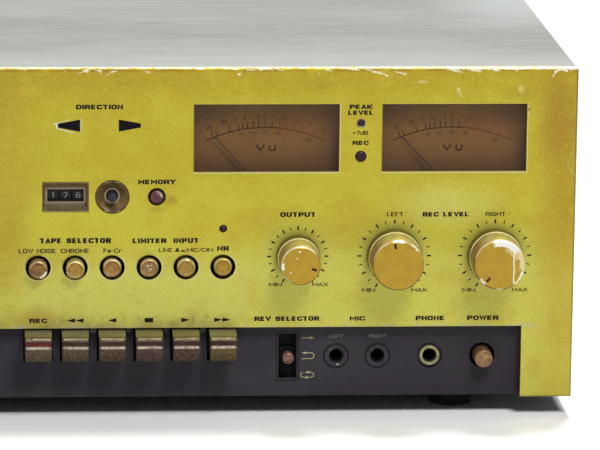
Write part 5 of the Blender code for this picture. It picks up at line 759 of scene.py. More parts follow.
def strokes_of(letter):
    """The points of each of a letter's strokes, its corners rounded."""
    for stroke in LETTERS[letter][1].split(";"):
        corners = [[float(number) for number in point.split(",")] for point in stroke.split()]
        points = []
        for index, (x, z, *radius) in enumerate(corners):
            here = Vector((x, z))
            if not radius:
                points.append(here)
                continue
            before, after = (Vector(corners[index + step][:2]) - here for step in (-1, 1))
            start = here + before.normalized() * min(radius[0], before.length * 0.5)
            end = here + after.normalized() * min(radius[0], after.length * 0.5)
            for step in range(CURVE_STEPS + 1):
                share = step / CURVE_STEPS
                points.append(start * (1 - share) ** 2 + here * 2 * share * (1 - share) + end * share**2)
        if points:
            yield points


def ribbon(points, width, faces, corners):
    """Adds a flat ribbon of the given width along the points, mitred at its joints."""
    clean = [points[0]]
    for point in points[1:]:
        if (point - clean[-1]).length > 0.000001:
            clean.append(point)
    closed = (clean[0] - clean[-1]).length < 0.00001 and len(clean) > 3
    if closed:
        clean.pop()
    count = len(clean)
    base = len(corners)
    for index, point in enumerate(clean):
        ways = []
        if closed or index > 0:
            ways.append((point - clean[index - 1]).normalized())
        if closed or index < count - 1:
            ways.append((clean[(index + 1) % count] - point).normalized())
        sides = [Vector((-way.y, way.x)) for way in ways]
        mitre = sum(sides, Vector((0, 0))).normalized()
        length = min(1 / max(mitre.dot(sides[0]), 0.3), 2.2) * width / 2
        corners.extend((point + mitre * length, point - mitre * length))
    for index in range(count if closed else count - 1):
        here = base + 2 * index
        following = base + 2 * ((index + 1) % count)
        faces.append((here, following, following + 1, here + 1))


def words(text, x0, x1, z0, z1, weight, stretch=1.0):
    """A word's strokes as (points, width, stretch), filling the range. Its uprights are wider by stretch."""
    high = z1 - z0
    stroke = weight * high
    gap = 0.07 * high
    natural = sum(LETTERS[letter][0] for letter in text)
    unit = ((x1 - x0) / stretch - len(text) * stroke - (len(text) - 1) * gap) / max(natural, 0.001)
    strokes = []
    x = x0 / stretch + stroke / 2
    for letter in text:
        width = LETTERS[letter][0]
        for ends in strokes_of(letter):
            points = [Vector((x + p.x * unit, z0 + stroke / 2 + p.y * (high - stroke))) for p in ends]
            if (ends[0] - ends[-1]).length > 0.001:
                for end, beside in ((0, 1), (-1, -2)):
                    way = (points[end] - points[beside]).normalized()
                    if abs(way.y) > 0.4 and ends[end].y in (0, 1):
                        points[end] = points[end] + way * stroke / 2 / abs(way.y)
                    elif abs(way.x) > 0.9 and ends[end].x in (0, width):
                        points[end] = points[end] + way * stroke / 2
            strokes.append((points, stroke, stretch))
        x += width * unit + stroke + gap
    return strokes


def printed(name, strokes, look, y=0.0, body="deck", fills=(), out=-1):
    """Ink on a face at depth y: filled outlines and ribbons along strokes, laid in layers where they cross.

    out is the way the face looks along y.
    """
    corners = []
    faces = []
    depths = []
    y += out * PRINT_PROUD
    for index, (points, width, *stretch) in enumerate(strokes):
        first = len(corners)
        ribbon([Vector(point) for point in points], width, faces, corners)
        for corner in corners[first:]:
            corner.x *= stretch[0] if stretch else 1
            depths.append(y + out * INK_LAYER * (index % 4))
    for shape in fills:
        faces.append(tuple(range(len(corners), len(corners) + len(shape))))
        corners.extend(Vector(point) for point in shape)
        depths.extend(y for _ in shape)
    mesh = bpy.data.meshes.new(name)
    points = [tuple(at(corner.x, depth, corner.y)) for corner, depth in zip(corners, depths)]
    mesh.from_pydata(points, [], faces)
    add(name, mesh, look, body)


def on_circle(x, z, radius, angle):
    """The point of a circle about (x, z) at an angle clockwise from the top."""
    turn = math.radians(angle)
    return Vector((x + radius * math.sin(turn), z + radius * math.cos(turn)))


def arc(x, z, radius, start, end, steps=24):
    return [on_circle(x, z, radius, start + (end - start) * step / steps) for step in range(steps + 1)]


def outline(x0, z0, x1, z1):
    """A rectangle's corners, ending where they start."""
    return [(x0, z0), (x1, z0), (x1, z1), (x0, z1), (x0, z0)]


def dress(look, *names):
    """Gives carried-over CAD nodes a material in all their slots."""
    for name in names:
        for slot in frame["nodes"][name].material_slots:
            slot.material = looks[look]


def soften(width, *names):
    """Welds the split corners of carried-over CAD nodes and rounds their edges a little."""
    for name in names:
        item = frame["nodes"][name]
        weld = item.modifiers.new("weld", "WELD")
        weld.merge_threshold = 0.00001
        bevel = item.modifiers.new("edges", "BEVEL")
        bevel.width = width * MM
        bevel.segments = 2
        bevel.limit_method = "ANGLE"
        bevel.angle_limit = math.radians(35)
        bevel.harden_normals = True


make_camera()

# Plain finishes: base, dark and light shades, grain size, metallic, roughness, then bump depth and gloss
PLAIN = (
    ("zinc_steel", (150, 152, 150), (128, 130, 128), (176, 178, 174), 5.0, 0.7, (0.35, 0.5)),
    ("base_steel", (92, 92, 92), (70, 70, 72), (118, 118, 116), 7.0, 0.5, (0.4, 0.6)),
    ("rear_paint", (60, 60, 62), (54, 54, 56), (82, 82, 84), 1.6, 0.1, (0.5, 0.65), 0.05),
    ("foot_rubber", (30, 29, 31), (22, 21, 23), (52, 50, 52), 2.0, 0.0, (0.7, 0.9), 0.06),
    ("black_moulding", (26, 24, 26), (18, 17, 19), (44, 42, 44), 3.0, 0.0, (0.4, 0.6)),
    ("inner_black", (14, 12, 14), (9, 8, 10), (26, 24, 26), 3.0, 0.0, (0.6, 0.8)),
    ("hole_brown", (74, 52, 48), (56, 38, 36), (96, 74, 66), 2.0, 0.0, (0.6, 0.8)),
    ("brass", (178, 146, 70), (140, 110, 50), (220, 196, 120), 2.0, 0.8, (0.25, 0.4), 0.02),
    ("nickel", (170, 166, 156), (140, 136, 128), (210, 206, 196), 2.0, 0.8, (0.2, 0.35), 0.02),
    ("board_laminate", (116, 92, 50), (96, 76, 42), (140, 116, 70), 4.0, 0.0, (0.4, 0.6)),
    ("belt_rubber", (28, 27, 28), (20, 19, 20), (44, 42, 42), 2.0, 0.0, (0.6, 0.8)),
    ("grey_moulding", (176, 172, 162), (150, 146, 138), (200, 196, 186), 2.5, 0.0, (0.4, 0.6)),
    ("well_moulding", (62, 58, 56), (48, 45, 44), (86, 82, 78), 3.0, 0.0, (0.5, 0.7)),
    ("lamp_lens", (40, 26, 34), (30, 18, 26), (84, 60, 64), 0.6, 0.0, (0.15, 0.3), 0.01),
    ("record_lens", (54, 16, 30), (40, 12, 24), (84, 36, 46), 0.8, 0.0, (0.15, 0.3), 0.01),
    ("arrow_lens", (15, 8, 21), (11, 6, 16), (28, 19, 34), 1.2, 0.0, (0.35, 0.5), 0.01, 0.1),
    ("socket_black", (58, 52, 61), (46, 41, 50), (106, 98, 102), 1.0, 0.1, (0.3, 0.5), 0.02),
    ("worn_brass", (166, 162, 118), (136, 132, 92), (214, 210, 164), 0.9, 0.2, (0.4, 0.55), 0.02),
    ("needle_black", (84, 60, 40), (70, 48, 34), (98, 72, 46), 1.0, 0.0, (0.5, 0.7), 0.01),
    ("reset_cap_finish", (50, 50, 60), (38, 38, 48), (104, 104, 108), 0.8, 0.2, (0.25, 0.4), 0.02),
    ("lamp_ring_grey", (132, 122, 112), (92, 82, 76), (176, 166, 150), 1.0, 0.6, (0.3, 0.45), 0.01),
    ("screw_plating", (96, 94, 92), (72, 70, 70), (150, 146, 140), 1.2, 0.7, (0.3, 0.45), 0.02),
    ("screw_recess", (16, 14, 14), (10, 9, 9), (30, 28, 28), 0.8, 0.3, (0.6, 0.8)),
    ("collar_white", (206, 202, 190), (180, 176, 166), (226, 222, 212), 1.6, 0.0, (0.4, 0.6)),
    ("collar_red", (150, 34, 30), (120, 26, 24), (178, 66, 58), 1.6, 0.0, (0.4, 0.6)),
)
for values in PLAIN:
    speckled(*values)
for values in (
    ("pointer_paint", (66, 36, 32), (98, 60, 46)), ("bare_metal_and_glint", (244, 240, 226), (206, 190, 146), 0.5),
    ("dark_legend_ink", (22, 8, 14), (48, 32, 26), 0.15), ("thin_legend_ink", (40, 24, 20), (78, 58, 36), 0.35),
    ("pale_legend_ink", (188, 186, 142), (104, 100, 88), 0.7),
    ("dim_legend_ink", (136, 130, 124), (84, 78, 80), 0.6),
    ("slot_frame_paint", (26, 22, 28), (40, 36, 42)), ("slot_inner_line", (86, 82, 92), (62, 58, 66)),
    ("worn_rim", (222, 216, 196), (176, 162, 120), 0.6),
    ("chipped_plating", (242, 234, 200), (214, 196, 138), 0.6),
    ("scratched_plating", (218, 200, 122), (196, 176, 88), 0.6), ("scale_ink", (62, 38, 26), (84, 56, 32)),
    ("faint_scale_ink", (88, 54, 32), (110, 72, 36)), ("scale_red", (128, 54, 34), (112, 62, 34)),
    ("counter_digit_ink", (142, 138, 132), (92, 88, 86), 0.6),
):
    ink(*values)
gold_sheet()
band_sheet()
cover_sheet()
counter_bronze()
glass("meter_pane", (86, 56, 32), 0.16, 0.06, 0)
glass("door_pane", (44, 34, 26), 0.26, 0.08)
scale_plate()
pin_look()
memory_cap()

# Carried-over nodes and their finishes
for look, names in {
    "gold_sheet": ("front_panel", "cassette_door"), "band_sheet": ("lower_panel",),
    "cover_sheet": ("cabinet_cover",), "base_steel": ("chassis_base",), "rear_paint": ("rear_panel",),
    "foot_rubber": ("foot_front_left", "foot_front_right", "foot_rear_left", "foot_rear_right"),
    "inner_black": ("meter_housing", "jack_board", "selector_lever"), "hole_brown": ("switch_bank",),
    "meter_pane": ("meter_window",), "door_pane": ("door_window",),
    "needle_black": ("meter_needle_left", "meter_needle_right"), "lamp_lens": ("lamp_board",),
    "arrow_lens": ("direction_lamp_left", "direction_lamp_right"), "counter_bronze": ("counter_housing",),
    "black_moulding": ("counter_drum_hundreds", "counter_drum_tens", "counter_drum_units"),
    "well_moulding": ("cassette_well",),
    "zinc_steel": (
        "level_controls", "drive_motor", "transformer", "flywheel_left", "flywheel_right", "head_block",
    ),
    "grey_moulding": ("spindle_left", "spindle_right"), "brass": ("motor_pulley",),
    "belt_rubber": ("drive_belt",), "board_laminate": ("main_board",),
    "socket_black": ("microphone_socket_left", "microphone_socket_right", "headphone_socket"),
}.items():
    dress(look, *names)
# The keys: groove, front and top shades
KEYS = {
    "eject_key": ((54, 44, 36), (82, 68, 56), (138, 130, 106)),
    "pause_key": ((54, 44, 36), (80, 68, 56), (136, 128, 106)),
    "record_key": ((96, 36, 40), (90, 78, 58), (138, 134, 116)),
    "rewind_key": ((54, 44, 34), (84, 70, 52), (134, 130, 112)),
    "reverse_play_key": ((58, 44, 34), (80, 62, 46), (142, 132, 104)),
    "stop_key": ((54, 42, 38), (78, 56, 54), (148, 140, 98)),
    "play_key": ((56, 44, 36), (78, 56, 46), (142, 134, 94)),
    "fast_forward_key": ((50, 40, 28), (96, 82, 42), (140, 136, 106)),
}
for name, shades in KEYS.items():
    low, high = box(name)
    key_metal(name + "_plating", (low.x + high.x) / 2, *shades)
    dress(name + "_plating", name)
soften(0.25, *KEYS)


def dots(places, climb, share=1.0):
    """Short strokes, each as wide as it is long times share, that climb a little to the right."""
    return [([(x - size / 2, z), (x + size / 2, z + climb)], size * share) for x, z, size in places]


# Knobs, turned finely: angle, start and end of the pointer, then patches as start and end angle, inner
# share of the radius, and shade. Dark patches low on the rim are painted shade; pale ones are worn plating and
# painted highlight
KNOB_FINISHES = {
    "output_knob": ((106, 5.4, 8.0), [
        (100, 215, 0.955, (112, 84, 48)), (-150, -100, 0.955, (226, 212, 172)),
        (-100, 50, 0.95, (236, 228, 190)), (-101, -84, 0.86, (246, 242, 230)),
    ]),
    "record_knob_left": ((-9.5, 8.3, 11.0), [
        (110, 250, 0.955, (108, 78, 50)), (-78, 72, 0.965, (206, 176, 132)), (-50, -28, 0.955, (226, 208, 160)),
        (-10, 11, 0.91, (244, 238, 222)), (33, 50, 0.93, (240, 232, 206)),
    ]),
    "record_knob_right": ((-143, 7.7, 10.4), [
        (140, 250, 0.955, (112, 84, 48)), (-75, 140, 0.96, (222, 200, 160)), (20, 72, 0.58, (206, 184, 112)),
        (-15, 52, 0.74, (240, 238, 228)), (45, 142, 0.9, (238, 230, 204)), (60, 100, 0.78, (220, 204, 150)),
        (-139, -130, 0.9, (236, 230, 210)), (176, 184, 0.94, (230, 220, 190)),
    ]),
}
for (x, radius), (name, ((angle, start, end), patches)) in zip(KNOBS, KNOB_FINISHES.items()):
    outer = radius + 0.3
    shell = [
        (0.0, KNOB_FACE_Y), (radius * 0.5, KNOB_FACE_Y), (radius - 0.95, KNOB_FACE_Y), (radius - 0.6, -22.42),
        (radius - 0.25, -22.15), (radius, -21.6), (outer, FLANGE_FRONT - 0.9),
        (outer - 0.6, FLANGE_FRONT - 0.9), (outer - 0.6, FLANGE_FRONT), (outer - 0.1, FLANGE_FRONT - 0.1),
        (outer + 0.3, FLANGE_FRONT + 0.25),
        (outer + 0.65, FLANGE_FRONT + 1.2), (outer + 0.8, FLANGE_FRONT + 2.4), (outer + 0.8, -0.5),
        (3.0, -0.5), (3.0, 20.0), (0.0, 20.0),
    ]
    knob_gold(name + "_finish", x, radius, patches)
    refine(name, x, KNOB_Z, shell, name + "_finish", 96)
    line = [on_circle(x, KNOB_Z, start, angle), on_circle(x, KNOB_Z, end, angle)]
    printed(name + "_pointer", [(line, 1.25)], "pointer_paint", KNOB_FACE_Y, name)
specks = dots([(83.3, 78.5, 0.8), (81.9, 75.25, 0.55), (79.0, 68.3, 0.6)], 0.2)
printed("output_knob_specks", specks, "bare_metal_and_glint", KNOB_FACE_Y, "output_knob")
streak = [(187.3, 79.0), (187.6, 76.2), (187.35, 73.0), (187.7, 69.6), (187.4, 66.4), (187.5, 62.6)]
printed("record_knob_right_streak", [(streak, 0.6)], "bare_metal_and_glint", KNOB_FACE_Y, "record_knob_right")

# Push buttons: reach, then face, barrel and rim shades, then chips as start angle, end angle and inner radius.
# The rim shade is painted highlight, chiefly on the top of the bevel
BUTTONS = {
    "low_noise_button": (5.8, (150, 106, 42), (108, 78, 50), (196, 168, 120), [(100, 165, 3.2)]),
    "chrome_button": (5.8, (166, 134, 42), (144, 112, 46), (232, 222, 160), [(-150, -100, 4.0)]),
    "ferrichrome_button": (1.9, (162, 120, 46), (132, 94, 46), (230, 214, 160), [(200, 250, 4.0)]),
    "limiter_button": (1.9, (148, 116, 60), (126, 94, 50), (206, 184, 130), [(-150, -105, 4.05)]),
    "input_button": (1.9, (162, 132, 56), (142, 112, 50), (226, 206, 128), [(-30, 20, 4.1)]),
    "noise_reduction_button": (0.6, (172, 138, 32), (144, 112, 40), (220, 200, 120), []),
}
for (name, (reach, *shades, chips)), x in zip(BUTTONS.items(), BUTTON_XS):
    back = 12.0 - reach
    shell = [
        (0.0, 0.4 - reach), (2.95, 0.4 - reach), (3.1, 0.25 - reach), (3.15, 0.05 - reach), (3.25, -reach),
        (3.85, -reach), (4.05, 0.06 - reach), (4.3, 0.25 - reach), (4.5, 0.55 - reach), (4.55, 0.8 - reach),
        (4.55, back), (2.6, back), (2.6, back + 24.0), (0.0, back + 24.0),
    ]
    button_metal(name + "_finish", x, BUTTON_Z, *shades, chips)
    refine(name, x, BUTTON_Z, shell, name + "_finish", 64)
# Painted glints on the limiter button's face
specks = [(10.6, 67.4, 0.8), (12.3, 65.6, 0.7), (10.9, 65.7, 0.45), (12.2, 67.6, 0.5), (11.6, 64.6, 0.4)]
printed("limiter_button_glints", dots(specks, 0.25, 0.7), "bare_metal_and_glint", -1.5, "limiter_button")
button_metal("power_finish", 176.0, SOCKET_Z, (166, 136, 82), (118, 86, 64), (132, 96, 72), [], metallic=0.15)
shell = [
    (0.0, -2.4), (2.95, -2.4), (3.1, -2.55), (3.25, -2.8), (3.8, -2.8), (4.25, -2.55), (4.45, -2.25),
    (4.5, -2.0), (4.5, 12.2), (2.5, 12.2), (2.5, 30.0), (0.0, 30.0),
]
refine("power_button", 176.0, SOCKET_Z, shell, "power_finish", 64)
shell = [(0.0, -3.1), (1.2, -3.1), (1.7, -3.0), (2.1, -2.7), (2.3, -2.2), (2.3, 13.6), (0.0, 13.6)]
refine("reset_button", RESET_X, COUNTER_Z, shell, "reset_cap_finish", 40)
shell = [(0.0, -1.2), (2.4, -1.2), (2.9, -1.1), (3.2, -0.85), (3.3, -0.5), (3.3, 13.6), (0.0, 13.6)]
refine("memory_button", MEMORY_X, COUNTER_Z, shell, "memory_cap_finish", 48)

# Sockets
for name, x, radius, front, mouth, look in (
    ("microphone_socket_left", MICROPHONE_XS[0], 6.0, 5.7, 3.55, "socket_black"),
    ("microphone_socket_right", MICROPHONE_XS[1], 6.0, 5.7, 3.55, "socket_black"),
    ("headphone_socket", 150.0, 4.95, 5.6, 3.5, "worn_brass"),
):
    shell = [
        (radius, 7.9), (radius, front + 0.25), (radius - 0.25, front - 0.02), (mouth + 0.45, front - 0.03),
        (mouth + 0.12, front + 0.1), (mouth, front + 0.5), (3.3, front + 1.6), (3.2, front + 3.0),
        (3.22, 7.9), (radius, 7.9),
    ]
    lathe(name + "_ferrule", x, SOCKET_Z, shell, look, 64)
    ring = [(3.26, 30.0), (3.26, 8.0), (3.1, 8.0), (3.1, 30.0), (3.26, 30.0)]
    lathe(name + "_liner", x, SOCKET_Z, ring, "inner_black", 48)

# Selector lever: its plate stays dark and its pin is plated
shell = [(0.0, 0.5), (1.9, 0.5), (2.3, 0.58), (2.6, 0.8), (2.68, 1.1), (2.68, 12.0), (0.0, 12.0)]
lathe("selector_pin", 79.85, SOCKET_Z, shell, "selector_pin_plating", 40, "selector_lever")

# Legends on the gold panel: text, then left, right, lower and upper limit
BOLD_WORDS = (
    ("DIRECTION", -24.22, -1.46, 144.72, 147.03), ("MEMORY", 5.89, 24.10, 107.7, 110.0),
    ("TAPE SELECTOR", -41.86, -7.19, 78.59, 81.14), ("LIMITER", 3.30, 19.81, 78.45, 80.90),
    ("INPUT", 23.21, 35.65, 78.45, 80.90), ("NR", 44.5, 50.3, 74.45, 76.85),
    ("OUTPUT", 75.14, 92.61, 91.2, 93.56),
    ("REC LEVEL", 144.93, 167.79, 91.13, 93.37), ("PEAK", 108.41, 119.44, 144.59, 146.79),
    ("LEVEL", 107.71, 120.17, 141.68, 143.88), ("REC", 110.06, 118.04, 126.86, 128.86),
    ("REV SELECTOR", 63.0, 94.9, 39.2, 41.5), ("MIC", 109.8, 117.5, 39.2, 41.3),
    ("PHONE", 142.3, 156.6, 39.1, 41.4),
    ("POWER", 167.7, 183.2, 39.1, 41.4), ("REC", -46.9, -38.2, 38.9, 41.1),
    ("EJECT", -101.8, -91.4, 38.9, 41.1),
    ("PAUSE", -84.1, -73.2, 38.9, 41.1),
)
THIN_WORDS = (
    ("LOW NOISE", -52.05, -33.86, 73.7, 75.9), ("CHROME", -31.58, -17.73, 73.7, 75.9),
    ("Fe-Cr", -10.93, -2.08, 73.7, 75.9), ("LINE", 16.07, 22.85, 74.07, 75.95),
    ("MIC/DIN", 29.65, 42.65, 74.07, 75.95),
    ("+7dB", 109.99, 117.67, 131.85, 133.75), ("LEFT", 127.33, 135.40, 91.32, 93.45),
    ("RIGHT", 175.76, 185.64, 91.26, 93.25), ("MIN", 70.01, 76.34, 56.5, 58.4),
    ("MAX", 91.18, 98.95, 56.5, 58.4),
    ("MIN", 115.56, 122.12, 53.5, 55.4), ("MAX", 139.85, 147.57, 53.5, 55.4),
    ("MIN", 165.08, 171.47, 53.35, 55.2),
    ("MAX", 189.45, 197.10, 53.35, 55.2),
)
SOCKET_WORDS = (("LEFT", 100.2, 107.5, 29.2, 30.85), ("RIGHT", 120.0, 129.0, 29.2, 30.85))


def lettering(table, weight, stretch):
    return [stroke for word in table for stroke in words(*word, weight, stretch)]


def triangle(x, z, wide, high, way):
    return [(x - way * wide / 2, z + high / 2), (x - way * wide / 2, z - high / 2), (x + way * wide / 2, z)]


KEY_MARK_Z = 40.0
fills = [triangle(x, KEY_MARK_Z, wide, high, way) for x, wide, high, way in (
    (-26.7, 4.1, 2.2, -1), (-22.6, 4.1, 2.2, -1), (-6.6, 4.2, 2.3, -1), (29.4, 4.4, 2.3, 1),
    (45.4, 4.1, 2.2, 1), (49.4, 4.1, 2.2, 1),
)]
fills += [
    outline(9.3, 38.9, 13.5, 41.1)[:4],
    [
        (23.8, 74.1), (26.4, 74.1), (26.4, 74.6), (25.7, 74.6), (25.7, 75.9), (24.5, 75.9), (24.5, 74.6),
        (23.8, 74.6),
    ],
    [
        (26.9, 74.1), (29.1, 74.1), (29.1, 74.6), (28.6, 74.6), (28.6, 75.0), (27.4, 75.0), (27.4, 74.6),
        (26.9, 74.6),
    ],
]
printed("bold_legends", lettering(BOLD_WORDS, 0.27, 1.5), "dark_legend_ink", fills=fills)
printed("thin_legends", lettering(THIN_WORDS, 0.19, 1.25), "thin_legend_ink")

# Dial marks
for name, steps, half, width, look in (
    ("dial_marks", range(0, 21, 2), 1.02, 0.78, "dark_legend_ink"),
    ("dial_small_marks", range(1, 21, 2), 0.78, 0.52, "thin_legend_ink"),
):
    marks = []
    for (x, _), ring in zip(KNOBS, (14.05, 17.06, 17.06)):
        for step in steps:
            ends = [on_circle(x, KNOB_Z, far, 15 * step - 150) for far in (ring - half, ring + half)]
            marks.append((ends, width))
    printed(name, marks, look)

# Marks on the lower panel
printed("socket_legends", lettering(SOCKET_WORDS, 0.13, 1.2), "dim_legend_ink", BAND_Y)
pale = [
    ([(86.9, 29.2), (92.0, 29.2)], 0.26),
    ([(88.0, 21.6), (92.0, 21.6), (92.8, 21.0), (92.9, 19.9), (92.4, 19.0), (91.6, 18.7), (86.9, 18.7)], 0.36),
    (
        [
            (88.6, 11.8), (91.4, 11.8), (92.8, 11.2), (92.8, 9.8), (91.4, 9.2), (87.9, 9.2), (86.5, 9.8),
            (86.5, 11.2), (87.6, 11.7),
        ],
        0.34,
    ),
]
heads = (
    (91.8, 29.2, 2.4, 1.2, 1), (87.9, 21.6, 2.2, 1.3, -1), (90.6, 11.8, 1.9, 1.4, 1), (88.9, 9.2, 1.9, 1.4, -1),
)
printed("band_legends", pale, "pale_legend_ink", BAND_Y, fills=[triangle(*head) for head in heads])
printed("selector_frame_line", [(outline(74.35, 7.75, 85.35, 32.25), 0.5)], "slot_frame_paint", BAND_Y)
printed("selector_inner_line", [(outline(74.95, 8.35, 84.75, 31.65), 0.22)], "slot_inner_line", 6.6)
rings = [(arc(x, SOCKET_Z, 5.62, 0, 360, 48), 0.42) for x in MICROPHONE_XS]
printed("socket_outlines", rings, "slot_frame_paint", SOCKET_FACE_Y)
# Painted glints on the socket rims
glints = [
    ([(104.1, 15.7), (105.1, 15.95)], 0.4), ([(101.2, 22.9), (101.5, 23.2)], 0.25),
    ([(121.4, 22.6), (121.7, 22.9)], 0.25),
]
printed("socket_glints", glints, "bare_metal_and_glint", SOCKET_FACE_Y)

# Plating worn off round the left direction lamp
low, high = box("direction_lamp_left")
middle = (low.z + high.z) / 2
edge = low.x + 0.7
lines = [
    ([(edge, middle - 1.3), (low.x + 0.65, middle + 1.3)], 0.9),
    ([(low.x - 0.9, middle + 0.7), (low.x + 0.5, middle + 0.6)], 0.7),
    ([(edge, middle + 1.2), (high.x - 6.0, high.z - 1.2)], 0.28),
    ([(edge, middle - 1.25), (high.x - 4.2, low.z + 0.6)], 0.5),
    ([(high.x - 0.75, low.z + 0.5), (high.x - 0.75, high.z - 0.5)], 0.26),
]
printed("direction_lamp_worn_rim", lines, "worn_rim")

# Chips through the plating along the panel's top edge, and hairline scratches: both ends, and the width
CHIPS = (
    (-50.6, 164.6, -47.8, 164.3, 0.7), (-29.7, 163.3, -29.2, 163.4, 0.5), (-23.2, 162.4, -20.4, 163.2, 0.45),
    (-20.4, 163.2, -17.0, 164.3, 0.6), (-15.0, 164.4, -11.7, 162.2, 0.5), (-9.8, 161.5, -7.0, 162.6, 0.4),
    (-7.0, 162.6, -4.5, 163.8, 0.5), (9.0, 163.3, 12.0, 162.6, 0.4), (58.3, 164.2, 62.5, 163.6, 0.6),
    (63.0, 164.5, 66.0, 163.5, 0.7), (66.5, 164.6, 71.0, 163.9, 0.8), (71.5, 164.5, 75.7, 163.9, 0.6),
    (93.0, 162.0, 93.5, 162.0, 0.5), (96.1, 164.7, 99.5, 163.0, 0.6), (106.7, 164.4, 113.0, 163.7, 0.6),
    (115.9, 164.2, 119.6, 163.2, 0.8), (119.4, 163.3, 127.1, 160.9, 0.9), (130.5, 163.0, 135.9, 161.5, 0.8),
    (155.3, 164.3, 163.1, 162.5, 0.8), (163.6, 164.5, 171.9, 163.0, 0.9), (176.8, 164.5, 181.1, 163.2, 0.9),
    (187.0, 164.4, 190.2, 163.4, 0.8), (160.9, 155.2, 161.6, 153.0, 0.4), (162.6, 151.8, 163.2, 150.4, 0.4),
    (207.2, 160.3, 208.6, 162.4, 0.7), (208.4, 162.2, 210.4, 164.4, 1.2), (209.5, 164.0, 214.5, 163.5, 1.4),
    (214.0, 163.8, 216.6, 164.2, 1.0), (14.2, 127.9, 14.7, 127.9, 0.6), (196.0, 142.6, 196.1, 142.2, 0.5),
)
FINE_CHIPS = (
    (138.3, 156.9, 142.0, 157.6, 0.22), (142.5, 157.5, 146.6, 158.0, 0.2), (137.2, 153.5, 137.6, 153.5, 0.4),
    (217.6, 120.7, 219.5, 118.3, 0.22), (215.2, 116.3, 217.2, 113.8, 0.24), (216.8, 114.0, 219.6, 111.4, 0.26),
    (208.6, 49.6, 207.0, 47.2, 0.16), (206.6, 45.2, 206.2, 41.6, 0.24), (206.2, 41.6, 206.5, 38.6, 0.34),
    (206.5, 38.7, 207.4, 35.4, 0.3), (207.4, 35.4, 208.7, 32.3, 0.2), (210.9, 29.4, 211.3, 28.6, 0.26),
    (211.8, 27.0, 212.1, 25.9, 0.34), (211.3, 23.4, 211.8, 22.4, 0.24), (203.4, 24.4, 203.8, 23.8, 0.26),
)
draw = random.Random(41)


def jagged(table):
    """Broken strokes from one end of each chip to the other, kept below the panel's top."""
    strokes = []
    for x0, z0, x1, z1, width in table:
        start = Vector((x0, z0))
        end = Vector((x1, z1))
        steps = max(2, round((end - start).length / 0.4))
        for step in range(steps):
            middle = start.lerp(end, (step + 0.5) / steps) + Vector((0, draw.uniform(-0.4, 0.4) * width))
            half = (end - start) * draw.uniform(0.35, 0.8) / steps
            half += Vector((draw.uniform(-0.25, 0.25), draw.uniform(-0.15, 0.15))) * width
            wide = width * draw.uniform(0.3, 1.0)
            highest = PANEL_TOP - wide / 2
            ends = [Vector((point.x, min(point.y, highest))) for point in (middle - half, middle + half)]
            strokes.append((ends, wide))
    return strokes


printed("edge_chips", jagged(CHIPS), "chipped_plating")
printed("hairline_scratches", jagged(FINE_CHIPS), "scratched_plating")
spots = [
    ([(195.8, 144.6), (196.3, 143.8)], 0.7), ([(-5.2, 62.6), (-4.4, 62.2)], 0.5),
    ([(33.2, 63.6), (33.9, 63.3)], 0.5),
]
printed("dark_spots", spots, "pointer_paint")

# Meter faces behind the pane: marks with their outer radius, width and angles, then numbers with their radius,
# height, width of a digit, weight of the strokes and angles
SCALE_Y = 11.77
METER_MARKS = (
    ("meter_marks_", "scale_ink", 69.9, 0.5, (-22.2, -20.5, -14.9, -11.0, -9.2, -7.3, -4.8, -2.8, 0.0, 2.8)),
    ("meter_red_marks_", "scale_red", 69.6, 0.4, (5.8, 8.4, 11.3, 15.8, 20.6, 25.0)),
)
METER_TEXTS = (
    ("meter_numbers_", "faint_scale_ink", 71.2, 2.0, 1.35, 0.17,
     {"20": -22.6, "10": -16.4, "7": -12.0, "5": -8.0, "3": -2.8, "2": 0.0, "1": 3.4, "0": 7.6}),
    ("meter_red_numbers_", "scale_red", 70.6, 2.0, 1.2, 0.2, {"1": 12.6, "2": 18.0, "3": 23.6}),
    ("meter_shares_", "faint_scale_ink", 63.4, 1.7, 1.1, 0.17,
     {"20": -10.6, "40": -5.8, "60": -0.2, "80": 6.0, "100": 19.6}),
)
for side, middle in METER_MIDDLES.items():
    low, high = (middle - 36.0, 11.8, 97.2), (middle + 36.0, 11.97, 147.6)
    plate("meter_scale_" + side, low, high, "meter_scale_plate")
    centre = (middle - 0.1, 66.6)
    printed("meter_arc_" + side, [(arc(*centre, 66.8, -25.6, 4.6), 0.6)], "scale_ink", SCALE_Y)
    printed("meter_red_" + side, [(arc(*centre, 66.8, 4.6, 25.8), 0.6)], "scale_red", SCALE_Y)
    for name, look, outer, width, angles in METER_MARKS:
        ticks = [([on_circle(*centre, far, angle) for far in (67.0, outer)], width) for angle in angles]
        printed(name + side, ticks, look, SCALE_Y)
    for name, look, radius, high, wide, weight, texts in METER_TEXTS:
        strokes = []
        for text, angle in texts.items():
            place = on_circle(*centre, radius, angle)
            half = wide * len(text) / 2
            strokes += words(text, place.x - half, place.x + half, place.y, place.y + high, weight)
        printed(name + side, strokes, look, SCALE_Y)
    unit = words("V", middle - 4.4, middle - 0.4, 121.5, 124.8, 0.26)
    unit += words("U", middle + 1.65, middle + 5.3, 121.7, 124.7, 0.28)
    printed("meter_unit_" + side, unit, "scale_ink", SCALE_Y)

